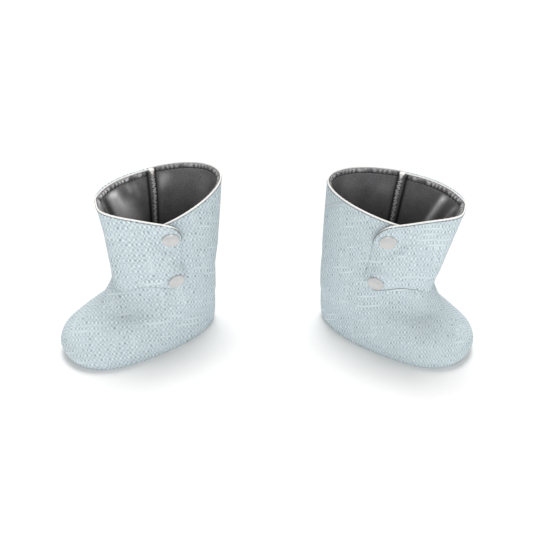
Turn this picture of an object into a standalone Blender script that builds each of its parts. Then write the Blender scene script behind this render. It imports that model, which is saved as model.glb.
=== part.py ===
"""A pair of cloth boot covers that stand side by side, with their toes turned out.

Each cover is a soft boot. Its upper takes in foot, heel and calf. A front flap laps over the upper on the
inner side of the leg and closes there with two snaps. A flat sole and a dark lining finish it. Every cloth is
a wall that follows one form: a stack of outlines from the sole's edge to the rim.

Sizes are millimetres and turn to metres where a mesh or an object gets its place. In a cover's own frame X
runs from the heel to the toe, Z runs up, and Y points to the inner side of the leg before the right cover is
mirrored. A fraction is a place round an outline: 0 at the back, 0.5 at the front, the inner side of the leg
in between.
"""

import math
from collections import namedtuple

import bmesh
import bpy
import numpy as np
from mathutils import Matrix, Vector

MM = 0.001

# The foot and the shaft
FOOT_LENGTH = 119.5
FOOT_HALF_WIDTH = 32.2
TOE_HEIGHT = 25.5
TOE_ROUNDING = 11.0
INSTEP_HEIGHT = 51.4
CUFF_HALF_WIDTH = 27.7
CUFF_LEVEL = 117.0
CUFF_GIRTH = 240.0
SHAFT_SQUARE = 2.1
ARCH_START = 40.0
ARCH_LENGTH = 88.0
LEAN_RISE = 60.0
BEND_LIMIT = 1.2

# The cloths
CLOTH = 1.0
LINING = 1.0
SEAM_GAP = 0.3
LAP_GAP = 0.5
LINING_DEPTH = CLOTH + SEAM_GAP
INSIDE_DEPTH = LINING_DEPTH + LINING
LAP_LIFT = INSIDE_DEPTH + LAP_GAP
SOLE_THICKNESS = 1.2
ALLOWANCE_WIDTH = 5.0
ALLOWANCE_TOP = 1.5
ALLOWANCE_BOTTOM = 4.0

# The cut of the flap: widths along the cloth, counted from the foot of the V at the rim
SIDE_SEAM = 0.775
RIM_SIDE = 0.70
FLAP_LAP = 9.0
FLAP_TOP_CORNER = 13.0
FLAP_LOW_CORNER = 5.0
LIFT_END = 0.467
LIFT_FADE = 0.055
UNDERLAY = 3.0

# The snaps
SNAP_RADIUS = 6.2
SNAP_THICKNESS = 1.7
SNAP_SIDES = 24
SNAP_SEAT = 1.0

# A cap's half section, from the middle of its back to the middle of its face: shares of radius and thickness
SNAP_PROFILE = ((0, 0), (0.96, 0), (1, 0.25), (0.98, 0.7), (0.86, 1), (0.6, 0.88), (0, 0.94))

# Where each cap sits: from the V along the cloth, and its height
SNAPS = {"snap_cap_top": (0.0, 92.6), "snap_cap_bottom": (-1.8, 59.5)}

# How fine the walls are
COLUMNS = 36
V_COLUMN, UNDERLAP_COLUMN, FRONT_COLUMN, SEAM_COLUMN = 11, 14, 18, 28
UNDERLAY_COLUMNS = (14, 15, 16)
CALF_ROWS = 6
FLAP_COLUMNS = 20
ALLOWANCE_ROWS, ALLOWANCE_COLUMNS = 9, 3
LOW_CORNER_TURNS = (0, 45, 90)
TOP_CORNER_TURNS = (90, 67.5, 45, 22.5, 0)
STRAIGHT_EDGE_POINTS = 4
OUTLINE_STEPS = 360
WELD = 1e-4
SMOOTH_TO = 40

# From the sole's edge up to the instep. toe_in counts back from the toe's tip, run goes from there to the
# instep. toe_part and vamp_part are shares of the rise to the toe's top and from there to the instep.
# heel_in is the heel's own place, heel_part a share of the instep's height. half_width is a share of the
# foot's. widest is where the outline is widest, a share of its length from the back. The last two are its
# squareness, 2 for an ellipse.
FootRing = namedtuple(
    "FootRing",
    "toe_in run toe_part vamp_part heel_in heel_part half_width widest square_back square_front",
)
FOOT_RINGS = (
    FootRing(3.5, 0.00, 0.00, 0.00, 4.0, 0.000, 0.91, 0.664, 2.1, 2.30),
    FootRing(0.3, 0.00, 0.22, 0.00, 0.5, 0.080, 0.97, 0.656, 2.0, 2.30),
    FootRing(0.0, 0.00, 0.48, 0.00, -0.7, 0.190, 1.00, 0.642, 1.9, 2.30),
    FootRing(3.5, 0.00, 0.78, 0.00, -0.9, 0.320, 1.00, 0.632, 1.9, 2.20),
    FootRing(TOE_ROUNDING, 0.00, 1.00, 0.00, -0.8, 0.460, 0.97, 0.620, 1.9, 2.10),
    FootRing(TOE_ROUNDING, 0.30, 1.00, 0.23, -0.6, 0.600, 0.94, 0.575, 2.1, 1.90),
    FootRing(TOE_ROUNDING, 0.58, 1.00, 0.43, -0.4, 0.745, 0.92, 0.520, 2.1, 1.70),
    FootRing(TOE_ROUNDING, 0.82, 1.00, 0.76, -0.2, 0.875, 0.90, 0.490, 2.1, 1.70),
    FootRing(TOE_ROUNDING, 1.00, 1.00, 1.00, 0.0, 1.000, 0.89, 0.500, 2.1, 1.90),
)
INSTEP_RING = len(FOOT_RINGS) - 1

# How each cover stands. x, y and heading (degrees) place it. instep, toe_swing, lean, the bows, the cuff's
# back and front and the rim's four heights are the shape that its cloth has taken.
Stance = namedtuple(
    "Stance",
    "mirror x y heading instep toe_swing lean back_bow front_bow cuff_back cuff_front"
    " rim_back rim_v rim_front rim_side v_place",
)
STANCES = {
    "left": Stance(
        1, -41.7, 15.3, 212.1, 78.4, -2.5, 0.8, -0.8, -1.5, -7.5, 85.8, 120.1, 104.4, 115.2, 120.1, 0.297
    ),
    "right": Stance(
        -1, 44.1, 19.0, -33.0, 86.6, -1.2, 0.4, -0.3, 0.1, 2.3, 104.2, 116.9, 106.6, 115.5, 119.8, 0.312
    ),
}

# The flap's lower edge: millimetres from the V, and the rise above the instep
FLAP_HEM = ((-9.0, 1.0), (0.0, 1.6), (8.0, 4.2), (17.0, 6.2), (27.0, 4.6), (37.0, 0.3), (40.0, 0.3))

# colour, roughness, metallic
FINISHES = {
    "linen_cloth": ((0.533, 0.623, 0.665), 0.85, 0.0),
    "satin_lining": ((0.067, 0.067, 0.067), 0.45, 0.0),
    "snap_plastic": ((0.560, 0.560, 0.560), 0.35, 0.0),
}


def clear_scene():
    for thing in list(bpy.data.objects):
        bpy.data.objects.remove(thing)


def make_materials():
    made = {}
    for name, (colour, roughness, metallic) in FINISHES.items():
        material = bpy.data.materials.new(name)
        material.use_nodes = True
        shader = material.node_tree.nodes["Principled BSDF"]
        shader.inputs["Base Color"].default_value = (*colour, 1.0)
        shader.inputs["Roughness"].default_value = roughness
        shader.inputs["Metallic"].default_value = metallic
        made[name] = material
    return made


def bowed(low, middle, high, part):
    """A parabola through three values, at parts 0, 0.5 and 1."""
    return (
        low * 2 * (part - 0.5) * (part - 1)
        + middle * 4 * part * (1 - part)
        + high * 2 * part * (part - 0.5)
    )


def eased(x, places, values):
    """A smooth curve through a table, with the chords' mean slope at its inner rows."""
    places, values = np.asarray(places, float), np.asarray(values, float)
    chord = np.diff(values) / np.diff(places)
    slope = np.concatenate([chord[:1], (chord[:-1] + chord[1:]) / 2, chord[-1:]])
    x = np.clip(x, places[0], places[-1])
    row = np.clip(np.searchsorted(places, x, side="right") - 1, 0, len(places) - 2)
    step = places[row + 1] - places[row]
    t = (x - places[row]) / step
    return (
        values[row] * (1 + 2 * t) * (1 - t) ** 2
        + slope[row] * step * t * (1 - t) ** 2
        + values[row + 1] * t**2 * (3 - 2 * t)
        + slope[row + 1] * step * t**2 * (t - 1)
    )


def outline_points(back, front, widest, half_width, square_back, square_front, fractions):
    """X and Y at fractions of an outline, counted along it on each half from the back to the front."""
    angle = np.linspace(0, 2 * math.pi, OUTLINE_STEPS + 1)
    along, across = np.cos(angle), np.sin(angle)
    behind = along > 0
    square = np.where(behind, square_back, square_front)
    reach = np.where(behind, back - widest, front - widest)
    x = widest + reach * np.abs(along) ** (2 / square)
    y = np.sign(across) * half_width * np.abs(across) ** (2 / square)
    run = np.concatenate([[0], np.cumsum(np.hypot(np.diff(x), np.diff(y)))])
    half = OUTLINE_STEPS // 2
    inner = run[: half + 1] / run[half] / 2
    outer = 0.5 + (run[half + 1 :] - run[half]) / (run[-1] - run[half]) / 2
    place = np.concatenate([inner, outer])
    return np.interp(fractions, place, x), np.interp(fractions, place, y)


def foot_points(stance, ring, fractions):
    """One outline of the foot."""
    toe = FOOT_LENGTH - ring.toe_in
    front = toe + (stance.instep - toe) * ring.run
    front_height = TOE_HEIGHT * ring.toe_part + (INSTEP_HEIGHT - TOE_HEIGHT) * ring.vamp_part
    back_height = INSTEP_HEIGHT * ring.heel_part
    x, y = outline_points(
        ring.heel_in,
        front,
        ring.heel_in + ring.widest * (front - ring.heel_in),
        ring.half_width * FOOT_HALF_WIDTH,
        ring.square_back,
        ring.square_front,
        fractions,
    )
    z = back_height + (front_height - back_height) * (x - ring.heel_in) / (front - ring.heel_in)
    swing = stance.toe_swing * np.clip((x - ARCH_START) / ARCH_LENGTH, 0, BEND_LIMIT) ** 2
    return np.stack([x, y + swing, z], axis=-1)


def shaft_point(stance, fraction, height):
    """One point of the shaft's outer face."""
    ankle = FOOT_RINGS[INSTEP_RING]
    part = (height - INSTEP_HEIGHT) / (CUFF_LEVEL - INSTEP_HEIGHT)
    back = bowed(0, stance.cuff_back / 2 + stance.back_bow, stance.cuff_back, part)
    front_middle = (stance.instep + stance.cuff_front) / 2 + stance.front_bow
    front = bowed(stance.instep, front_middle, stance.cuff_front, part)
    ankle_width = ankle.half_width * FOOT_HALF_WIDTH
    square_front = ankle.square_front + (SHAFT_SQUARE - ankle.square_front) * min(1, 3 * part)
    x, y = outline_points(
        back,
        front,
        (back + front) / 2,
        ankle_width + (CUFF_HALF_WIDTH - ankle_width) * part,
        SHAFT_SQUARE,
        square_front,
        fraction,
    )
    lean = stance.lean * min(BEND_LIMIT, max(0, (height - INSTEP_HEIGHT) / LEAN_RISE))
    return (float(x), float(y) + lean, height)


def shaft_points(stance, fractions, heights):
    pairs = zip(np.ravel(fractions) % 1, np.ravel(heights))
    flat = np.array([shaft_point(stance, fraction, height) for fraction, height in pairs])
    return flat.reshape(*np.shape(fractions), 3)


def rim_height(stance, fractions):
    """The rim, from the foot of the V round the front, the outer side and the back to the V again."""
    places = (stance.v_place, 0.5, RIM_SIDE, 1, 1 + stance.v_place)
    heights = (stance.rim_v, stance.rim_front, stance.rim_side, stance.rim_back, stance.rim_v)
    return eased(fractions, places, heights)


def hem_height(stance, fractions):
    """The flap's lower edge."""
    from_v = (np.asarray(fractions) - stance.v_place) * CUFF_GIRTH
    places, rises = zip(*FLAP_HEM)
    return INSTEP_HEIGHT + eased(from_v, places, rises)


def normals_of(points, closed):
    """Outward normals of a grid whose rows rise and whose columns run to the inner side."""
    if closed:
        padded = np.concatenate([points[:, -1:], points, points[:, :1]], axis=1)
        along = np.gradient(padded, axis=1)[:, 1:-1]
    else:
        along = np.gradient(points, axis=1)
    normals = np.cross(np.gradient(points, axis=0), along)
    return normals / np.linalg.norm(normals, axis=-1, keepdims=True)


def upper_grid(stance):
    """Outer face of the upper: all round the foot, then the calf up to the rim."""
    landmarks = (0, V_COLUMN, FRONT_COLUMN, SEAM_COLUMN, COLUMNS)
    places = (0, stance.v_place, 0.5, SIDE_SEAM + SEAM_GAP / 2 / CUFF_GIRTH, 1)
    fractions = np.interp(np.arange(COLUMNS), landmarks, places)
    rows = [foot_points(stance, ring, fractions) for ring in FOOT_RINGS]
    rim = rim_height(stance, np.where(fractions < stance.v_place, fractions + 1, fractions))
    under = slice(V_COLUMN, UNDERLAP_COLUMN + 1)
    fall = (stance.rim_back - stance.rim_v) / stance.v_place
    rim[under] = stance.rim_v - fall * (fractions[under] - stance.v_place)
    for row in range(1, CALF_ROWS + 1):
        heights = INSTEP_HEIGHT + (rim - INSTEP_HEIGHT) * row / CALF_ROWS
        if row == 1:
            strip = slice(UNDERLAP_COLUMN + 1, UNDERLAY_COLUMNS[-1] + 2)
            heights[strip] = hem_height(stance, fractions[strip]) + UNDERLAY
        rows.append(shaft_points(stance, fractions, heights))
    points = np.array(rows)
    normals = normals_of(points, closed=True)
    normals[0, :, 2] = 0
    normals[0] /= np.linalg.norm(normals[0], axis=-1, keepdims=True)
    return points, normals


def in_upper(row, column):
    """Whether the upper has cloth in this field of its grid: the flap covers the rest."""
    behind_flap = UNDERLAP_COLUMN <= column < SEAM_COLUMN
    underlay = row == INSTEP_RING and column in UNDERLAY_COLUMNS
    return row < INSTEP_RING or not behind_flap or underlay


def flap_edge(stance):
    """The flap's free edge from its hem to the V: rounded low corner, straight edge, rounded top corner."""
    free = stance.v_place - FLAP_LAP / CUFF_GIRTH
    low = float(hem_height(stance, free))
    corner = FLAP_LOW_CORNER / CUFF_GIRTH
    edge = [
        (free + corner * (1 - math.sin(turn)), low + FLAP_LOW_CORNER * (1 - math.cos(turn)))
        for turn in np.radians(LOW_CORNER_TURNS)
    ]
    straight = np.linspace(edge[-1][1], stance.rim_v - FLAP_TOP_CORNER, STRAIGHT_EDGE_POINTS + 2)
    edge += [(free, height) for height in straight[1:-1]]
    edge += [
        (
            stance.v_place - (stance.v_place - free) * math.sin(turn),
            stance.rim_v - FLAP_TOP_CORNER * (1 - math.cos(turn)),
        )
        for turn in np.radians(TOP_CORNER_TURNS)
    ]
    return np.array(edge)


def lap_lift(fractions):
    """How far the flap's face stands out from the form, where it laps over the upper."""
    part = np.clip((fractions - LIFT_END) / LIFT_FADE, 0, 1)
    return LAP_LIFT * (1 - part * part * (3 - 2 * part))


def flap_grid(stance):
    """Outer face of the flap, moved out from the form where it laps."""
    edge = flap_edge(stance)
    seam = SIDE_SEAM - SEAM_GAP / 2 / CUFF_GIRTH
    across = np.linspace(0, 1, FLAP_COLUMNS + 1)
    fractions = edge[:, :1] + (seam - edge[:, :1]) * across
    rises = (edge[:, 1:] - edge[0, 1]) / (stance.rim_v - edge[0, 1])
    low = hem_height(stance, fractions)
    top = rim_height(stance, np.maximum(fractions, stance.v_place))
    points = shaft_points(stance, fractions, low + (top - low) * rises)
    normals = normals_of(points, closed=False)
    return points + normals * lap_lift(fractions)[..., None], normals


def allowance_grid(stance):
    """Outer face of the side seam's allowance, on the lining's inner side."""
    half = ALLOWANCE_WIDTH / 2 / CUFF_GIRTH
    across = np.linspace(SIDE_SEAM - half, SIDE_SEAM + half, ALLOWANCE_COLUMNS)
    top = float(rim_height(stance, SIDE_SEAM)) - ALLOWANCE_TOP
    upward = np.linspace(INSTEP_HEIGHT + ALLOWANCE_BOTTOM, top, ALLOWANCE_ROWS)
    fractions, heights = np.meshgrid(across, upward)
    points = shaft_points(stance, fractions, heights)
    return points, normals_of(points, closed=False)


def finish(mesh, name, material, cover, mirror):
    """Turns a closed bmesh in millimetres into a named object of its cover."""
    bmesh.ops.scale(mesh, vec=(MM, MM * mirror, MM), verts=mesh.verts)
    bmesh.ops.recalc_face_normals(mesh, faces=mesh.faces)
    data = bpy.data.meshes.new(name)
    mesh.to_mesh(data)
    mesh.free()
    data.shade_smooth()
    data.set_sharp_from_angle(angle=math.radians(SMOOTH_TO))
    data.materials.append(material)
    piece = bpy.data.objects.new(name, data)
    bpy.context.collection.objects.link(piece)
    piece.parent = cover
    return piece


def cloth_wall(points, normals, depth, thickness, closed=False, kept=None, base=None):
    """A wall of cloth: a grid laid on its outer face, then extruded to its inner one.

    depth is how far the outer face lies inside the grid's points. kept says which fields have cloth, and base
    sets the height of the lowest row.
    """
    rows, columns = points.shape[:2]
    faces = [points - normals * inward for inward in (depth, depth + thickness)]
    for face in faces:
        if base is not None:
            face[0, :, 2] = base
    outer, inner = (face.reshape(-1, 3) for face in faces)
    wide = columns + 1 if closed else columns
    mesh = bmesh.new()
    bmesh.ops.create_grid(mesh, x_segments=wide - 1, y_segments=rows - 1, size=0.5)
    place = mesh.verts.layers.int.new("place")
    for number, vert in enumerate(mesh.verts):
        row, column = divmod(number, wide)
        vert[place] = row * columns + column % columns
        vert.co = Vector((column, row, 0))
    if kept:
        cut = []
        for face in mesh.faces:
            column = round(min(vert.co.x for vert in face.verts))
            row = round(min(vert.co.y for vert in face.verts))
            if not kept(row, column):
                cut.append(face)
        bmesh.ops.delete(mesh, geom=cut, context="FACES")
    for vert in mesh.verts:
        vert.co = outer[vert[place]]
    bmesh.ops.remove_doubles(mesh, verts=mesh.verts, dist=WELD)
    extruded = bmesh.ops.extrude_face_region(mesh, geom=mesh.faces[:])
    for part in extruded["geom"]:
        if isinstance(part, bmesh.types.BMVert):
            part.co = inner[part[place]]
    return mesh


def flat_piece(outline, bottom, thickness):
    """A flat piece of cloth inside an outline, such as a sole."""
    mesh = bmesh.new()
    bmesh.ops.create_circle(mesh, cap_ends=True, segments=len(outline), radius=1)
    for vert, (x, y, _) in zip(mesh.verts, outline):
        vert.co = (x, y, bottom)
    raised = bmesh.ops.extrude_face_region(mesh, geom=mesh.faces[:])
    lifted = [part for part in raised["geom"] if isinstance(part, bmesh.types.BMVert)]
    bmesh.ops.translate(mesh, vec=(0, 0, thickness), verts=lifted)
    return mesh


def snap_cap(stance, from_v, height):
    """A turned snap cap, seated on the flap with its face along the cloth's normal."""
    beside = np.array([-SNAP_SEAT, 0, SNAP_SEAT])
    fractions, heights = np.meshgrid(stance.v_place + (from_v + beside) / CUFF_GIRTH, height + beside)
    patch = shaft_points(stance, fractions, heights)
    normal = normals_of(patch, closed=False)[1, 1]
    sideways = Vector(patch[1, 2] - patch[1, 0]).normalized()
    upward = Vector(normal).cross(sideways)
    seat = Vector(patch[1, 1] + normal * (LAP_LIFT + SEAM_GAP))
    mesh = bmesh.new()
    verts = [mesh.verts.new((SNAP_RADIUS * r, 0, SNAP_THICKNESS * z)) for r, z in SNAP_PROFILE]
    edges = [mesh.edges.new(pair) for pair in zip(verts, verts[1:])]
    bmesh.ops.spin(
        mesh,
        geom=verts + edges,
        cent=(0, 0, 0),
        axis=(0, 0, 1),
        angle=2 * math.pi,
        steps=SNAP_SIDES,
        use_merge=True,
    )
    bmesh.ops.remove_doubles(mesh, verts=mesh.verts, dist=WELD)
    turn = Matrix((sideways, upward, Vector(normal))).transposed().to_4x4()
    bmesh.ops.transform(mesh, matrix=Matrix.Translation(seat) @ turn, verts=mesh.verts)
    return mesh


def build_cover(side, stance, materials):
    cover = bpy.data.objects.new(f"{side}_cover", None)
    bpy.context.collection.objects.link(cover)
    linen, satin, plastic = (materials[name] for name in FINISHES)
    sole_top = SOLE_THICKNESS + SEAM_GAP
    upper, upper_normals = upper_grid(stance)
    flap, flap_normals = flap_grid(stance)
    allowance, allowance_normals = allowance_grid(stance)

    def inside(depth):
        return upper[0] - upper_normals[0] * depth

    pieces = {
        "upper": (cloth_wall(upper, upper_normals, 0, CLOTH, True, in_upper), linen),
        "front_flap": (cloth_wall(flap, flap_normals, 0, CLOTH), linen),
        "sole": (flat_piece(inside(LINING_DEPTH), 0, SOLE_THICKNESS), linen),
        "lining_body": (
            cloth_wall(upper, upper_normals, LINING_DEPTH, LINING, True, in_upper, base=sole_top),
            satin,
        ),
        "lining_flap": (cloth_wall(flap, flap_normals, LINING_DEPTH, LINING), satin),
        "sole_lining": (flat_piece(inside(INSIDE_DEPTH + SEAM_GAP), sole_top, LINING), satin),
        "seam_allowance": (
            cloth_wall(allowance, allowance_normals, INSIDE_DEPTH + LAP_GAP, LINING),
            satin,
        ),
    }
    for name, (from_v, height) in SNAPS.items():
        pieces[name] = (snap_cap(stance, from_v, height), plastic)
    for name, (mesh, material) in pieces.items():
        finish(mesh, f"{side}_{name}", material, cover, stance.mirror)
    cover.location = (stance.x * MM, stance.y * MM, 0)
    cover.rotation_euler.z = math.radians(stance.heading)
    return cover


def centre_pair(covers):
    """Moves the pair so that the middle of its box, seen from above, is the origin."""
    bpy.context.view_layer.update()
    pieces = [piece for cover in covers for piece in cover.children]
    points = np.array([piece.matrix_world @ vert.co for piece in pieces for vert in piece.data.vertices])
    middle = (points.min(axis=0) + points.max(axis=0)) / 2
    for cover in covers:
        cover.location.x -= middle[0]
        cover.location.y -= middle[1]


clear_scene()
finishes = make_materials()
centre_pair([build_cover(side, stance, finishes) for side, stance in STANCES.items()])
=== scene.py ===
"""The looks of a pair of lined cloth boot covers: fine cloth walls, sewing, snap caps and their finishes.

Sizes are millimetres and turn to metres where a mesh is made. In a cover's own frame X runs from the heel
to the toe, Z runs up, and Y points to the inner side of the leg before the right cover is mirrored. A
fraction is a place round an outline: 0 at the back, 0.5 at the front, the inner side of the leg in between.
Waves that make a seam or an edge uneven have lengths that share no factor, so that nothing repeats.
"""

import math
from collections import namedtuple
from functools import lru_cache, partial

import bmesh
import bpy
import numpy as np
from mathutils import Matrix, Vector


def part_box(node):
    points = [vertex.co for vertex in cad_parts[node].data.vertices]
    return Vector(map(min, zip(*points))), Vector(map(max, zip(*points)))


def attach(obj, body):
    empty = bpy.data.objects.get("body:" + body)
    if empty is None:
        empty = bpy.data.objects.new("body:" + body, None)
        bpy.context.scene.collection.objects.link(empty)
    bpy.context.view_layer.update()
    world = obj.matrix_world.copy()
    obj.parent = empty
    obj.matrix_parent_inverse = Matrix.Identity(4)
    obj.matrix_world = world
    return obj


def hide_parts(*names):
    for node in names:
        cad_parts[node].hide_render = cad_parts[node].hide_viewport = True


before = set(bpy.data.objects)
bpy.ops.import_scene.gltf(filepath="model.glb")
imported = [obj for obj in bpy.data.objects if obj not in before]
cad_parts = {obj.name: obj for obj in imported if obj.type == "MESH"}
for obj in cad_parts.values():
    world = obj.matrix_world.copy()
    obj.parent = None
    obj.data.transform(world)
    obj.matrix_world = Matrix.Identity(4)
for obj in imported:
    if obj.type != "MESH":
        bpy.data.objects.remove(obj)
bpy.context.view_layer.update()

MM = 0.001

# The foot and the shaft
FOOT_LENGTH = 119.5
FOOT_HALF_WIDTH = 32.2
TOE_HEIGHT = 25.5
TOE_ROUNDING = 11.0
INSTEP_HEIGHT = 51.4
CUFF_HALF_WIDTH = 27.7
CUFF_LEVEL = 117.0
CUFF_GIRTH = 240.0
SHAFT_SQUARE = 2.1
ARCH_START = 40.0
ARCH_LENGTH = 88.0
LEAN_RISE = 60.0
BEND_LIMIT = 1.2

# The cloths
CLOTH = LINING = 1.0
SEAM_GAP = 0.3
LAP_GAP = 0.5
LINING_DEPTH = CLOTH + SEAM_GAP
INSIDE_DEPTH = LINING_DEPTH + LINING
ALLOWANCE_DEPTH = LAP_LIFT = INSIDE_DEPTH + LAP_GAP
SOLE_THICKNESS = 1.2
SOLE_TOP = SOLE_THICKNESS + SEAM_GAP
CLOTH_ROUNDING = 0.35
CREASES_START = 4.0

# The cut of the flap: widths along the cloth, counted from the foot of the V at the rim
SIDE_SEAM = 0.775
RIM_SIDE = 0.70
TOP_CORNER_SLOPE = 0.3
FLAP_LOW_CORNER = 5.0
PRESSED_DROP = 1.8
PRESSED_SHARE = 0.34
PRESSED_REACH = 9.0
LIFT_END = 0.467
LIFT_FADE = 0.055
UNDERLAY = 3.0
CORNER_CURL = 0.7
CORNER_CURL_REACH = 12.0

# The side seam's allowance, inside the cuff
ALLOWANCE_WIDTH = 6.2
ALLOWANCE_TOP = 1.5
ALLOWANCE_BOTTOM = 4.0
ALLOWANCE_COLUMNS, ALLOWANCE_ROWS = 9, 61
# The allowance is a little darker all over, with painted shadow along its two edges
ALLOWANCE_SHADE, ALLOWANCE_EDGE_PAINTED_SHADOW = 0.1, 0.9
ALLOWANCE_EDGE_START, ALLOWANCE_EDGE_FADE = 0.62, 0.26
OVERLOCK_PITCH = 1.8
OVERLOCK_BESIDE = 0.7
OVERLOCK_HALF_WIDTH = 1.4
OVERLOCK_WANDER = 0.6
OVERLOCK_THREAD = 0.34

# The lining's hem, counted from its own top
HEM_DEPTH = 3.0
HEM_PUCKER = 4.4
HEM_PUCKER_HEIGHT = 0.75
HEM_STITCH_PITCH = 2.6
HEM_STITCH = 1.7
HEM_THREAD = 0.36
HEM_THREAD_STANDS = 0.25
HEM_STITCHES_START = 0.6
HEM_BESIDE_SEAM = 0.3
HEM_BELOW = 0.45
# The hem's painted highlights: its puckers' crests are painted paler, in the band and below it, most near the
# front and more on the left cover, and its ragged top edge is painted paler too
HEM_BELOW_PAINTED_HIGHLIGHT = 0.3
HEM_BELOW_REACH = 1.6
HEM_ROUNDNESS = 0.8
HEM_PAINTED_HIGHLIGHT = 0.26
HEM_FRONT = 0.585
HEM_FRONT_REACH = 30.0
HEM_FRONT_PAINTED_HIGHLIGHT = {"left": 4.6, "right": 2.0}
HEM_GROOVE = HEM_GROOVE_REACH = 0.45
RAGGED_PAINTED_HIGHLIGHT, RAGGED_REACH = 0.25, 0.9
# Painted shade: darker colour in the puckers' pits, along the stitches' groove and on the lining beside the
# side seam's allowance
PIT_PAINTED_SHADE = 0.6
STITCH_PAINTED_SHADE, STITCH_REACH = 0.55, 0.4
SEAM_PAINTED_SHADOW, SEAM_PAINTED_SHADOW_REACH = 1.0, 1.1
SEAM_CLEAR, SEAM_CLEAR_FADE = 1, 4
FOLDS_FADE, PAINTED_LIGHT_FADE = 6, 4
LINING_EASE, EASE_REACH = 0.5, 1.2

# The white edging that closes the rim
EDGING_DEPTH = 0.6
EDGING_HALF_WIDTH = 0.58
EDGING_HALF_HEIGHT = 0.6
EDGING_STANDS = 0.2
ROLL_START, ROLL_END = 0.52, 0.58
ROLL_DEPTH = 0.5
ROLL_DROP = 1.15
LINING_UNDER_RIM = 0.3
LINING_UNDER_ROLL = 1.5
RAGGED_TOP, RAGGED_RATE = 0.45, 1.9
EDGING_END = 0.55
EDGING_SIDES = 10
EDGING_END_ABOVE = 0.3
EDGING_END_LENGTH = 4.0
EDGING_END_DEPTHS = (1.2, ALLOWANCE_DEPTH + 0.6, ALLOWANCE_DEPTH + 1.5)
EDGING_END_HALF_DEPTH = 0.35
EDGING_END_WIDTH = 2.5
EDGING_END_BESIDE = -0.6
EDGING_BESIDE_SEAM = 0.4
EDGING_BEFORE_UNDERLAP = 0.5
BODY_RIM_POINTS, RIM_POINTS, CORNER_POINTS, TURN_POINTS = 260, 160, 40, 12
BODY_HEM_POINTS, FLAP_HEM_POINTS, INSTEP_POINTS, EDGING_END_POINTS = 300, 200, 90, 18
# The grey threads below the edging, on the flap's top corner and along its lower edge are dark lines laid
# where the edging's and the flap's shadow lines fall: painted shadow lines in thread
DITCH_SHADOW_LINE = 0.2
DITCH_BELOW = 0.6
DITCH_STANDS = 0.02
CORNER_SHADOW_LINE = 0.3
CORNER_BELOW = 0.1
INSTEP_SHADOW_LINE = {"left": 0.08, "right": 0.22}
INSTEP_SHADOW_LINE_START, INSTEP_SHADOW_LINE_END = -3.0, 34.0

# The snaps
SNAP_RADIUS = 5.95
SNAP_THICKNESS = 1.7
SNAP_SIDES = 64
SNAP_SEAT = 1.0
SNAP_FACE = 0.82
SNAP_CREASE_TURN = 0.5
SNAP_CREASE_SLOPE = 0.19
SNAP_RAISE = 0.9
SNAP_SUNK = 0.45
SNAP_PULL = 0.85
SNAP_PULL_START, SNAP_PULL_END = 5.0, 14.0
# The cap's half section: shares of its radius and of its thickness
SNAP_SECTION = (
    (0, 0), (0.93, 0), (0.97, 0.06), (1, 0.3), (1, 0.55), (0.985, 0.78), (0.95, 0.93), (0.90, 1.0),
    (0.85, 0.99), (0.81, 0.96), (0.77, 0.94), (0.6, 0.93), (0.4, 0.93), (0.2, 0.93), (0, 0.93),
)

# Where each cap sits, in millimetres from the V and in height, and the way it faces as the pair stands
Snap = namedtuple("Snap", "from_v height facing")
SNAPS = {
    "left": {
        "snap_cap_top": Snap(-0.8, 92.8, (0.13, -0.92, -0.37)),
        "snap_cap_bottom": Snap(-3.2, 59.5, (0.48, -0.82, -0.31)),
    },
    "right": {
        "snap_cap_top": Snap(-0.8, 94.0, (0.02, -0.95, -0.32)),
        "snap_cap_bottom": Snap(-1.4, 59.8, (-0.42, -0.84, -0.34)),
    },
}

# From the sole's edge up to the instep. toe_in counts back from the toe's tip, run goes from there to the
# instep. toe_part and vamp_part are shares of the rise to the toe's top and from there to the instep.
# heel_in is the heel's own place, heel_part a share of the instep's height. half_width is a share of the
# foot's. widest is where the outline is widest, a share of its length from the back. The last two are its
# squareness, 2 for an ellipse.
FootRing = namedtuple(
    "FootRing", "toe_in run toe_part vamp_part heel_in heel_part half_width widest square_back square_front"
)
FOOT_RINGS = (
    FootRing(3.5, 0, 0, 0, 4.0, 0, 0.91, 0.664, 2.1, 2.3),
    FootRing(0.3, 0, 0.22, 0, 0.5, 0.080, 0.97, 0.656, 2.0, 2.3),
    FootRing(0.0, 0, 0.48, 0, -0.7, 0.190, 1.00, 0.642, 1.9, 2.3),
    FootRing(3.5, 0, 0.78, 0, -0.9, 0.320, 1.00, 0.632, 1.9, 2.2),
    FootRing(TOE_ROUNDING, 0, 1, 0, -0.8, 0.460, 0.97, 0.620, 1.9, 2.1),
    FootRing(TOE_ROUNDING, 0.30, 1, 0.23, -0.6, 0.600, 0.94, 0.575, 2.1, 1.9),
    FootRing(TOE_ROUNDING, 0.58, 1, 0.43, -0.4, 0.745, 0.92, 0.520, 2.1, 1.7),
    FootRing(TOE_ROUNDING, 0.82, 1, 0.76, -0.2, 0.875, 0.90, 0.490, 2.1, 1.7),
    FootRing(TOE_ROUNDING, 1, 1, 1, 0.0, 1, 0.89, 0.500, 2.1, 1.9),
)
LAST_RING = len(FOOT_RINGS) - 1
ANKLE = FOOT_RINGS[LAST_RING]

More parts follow.
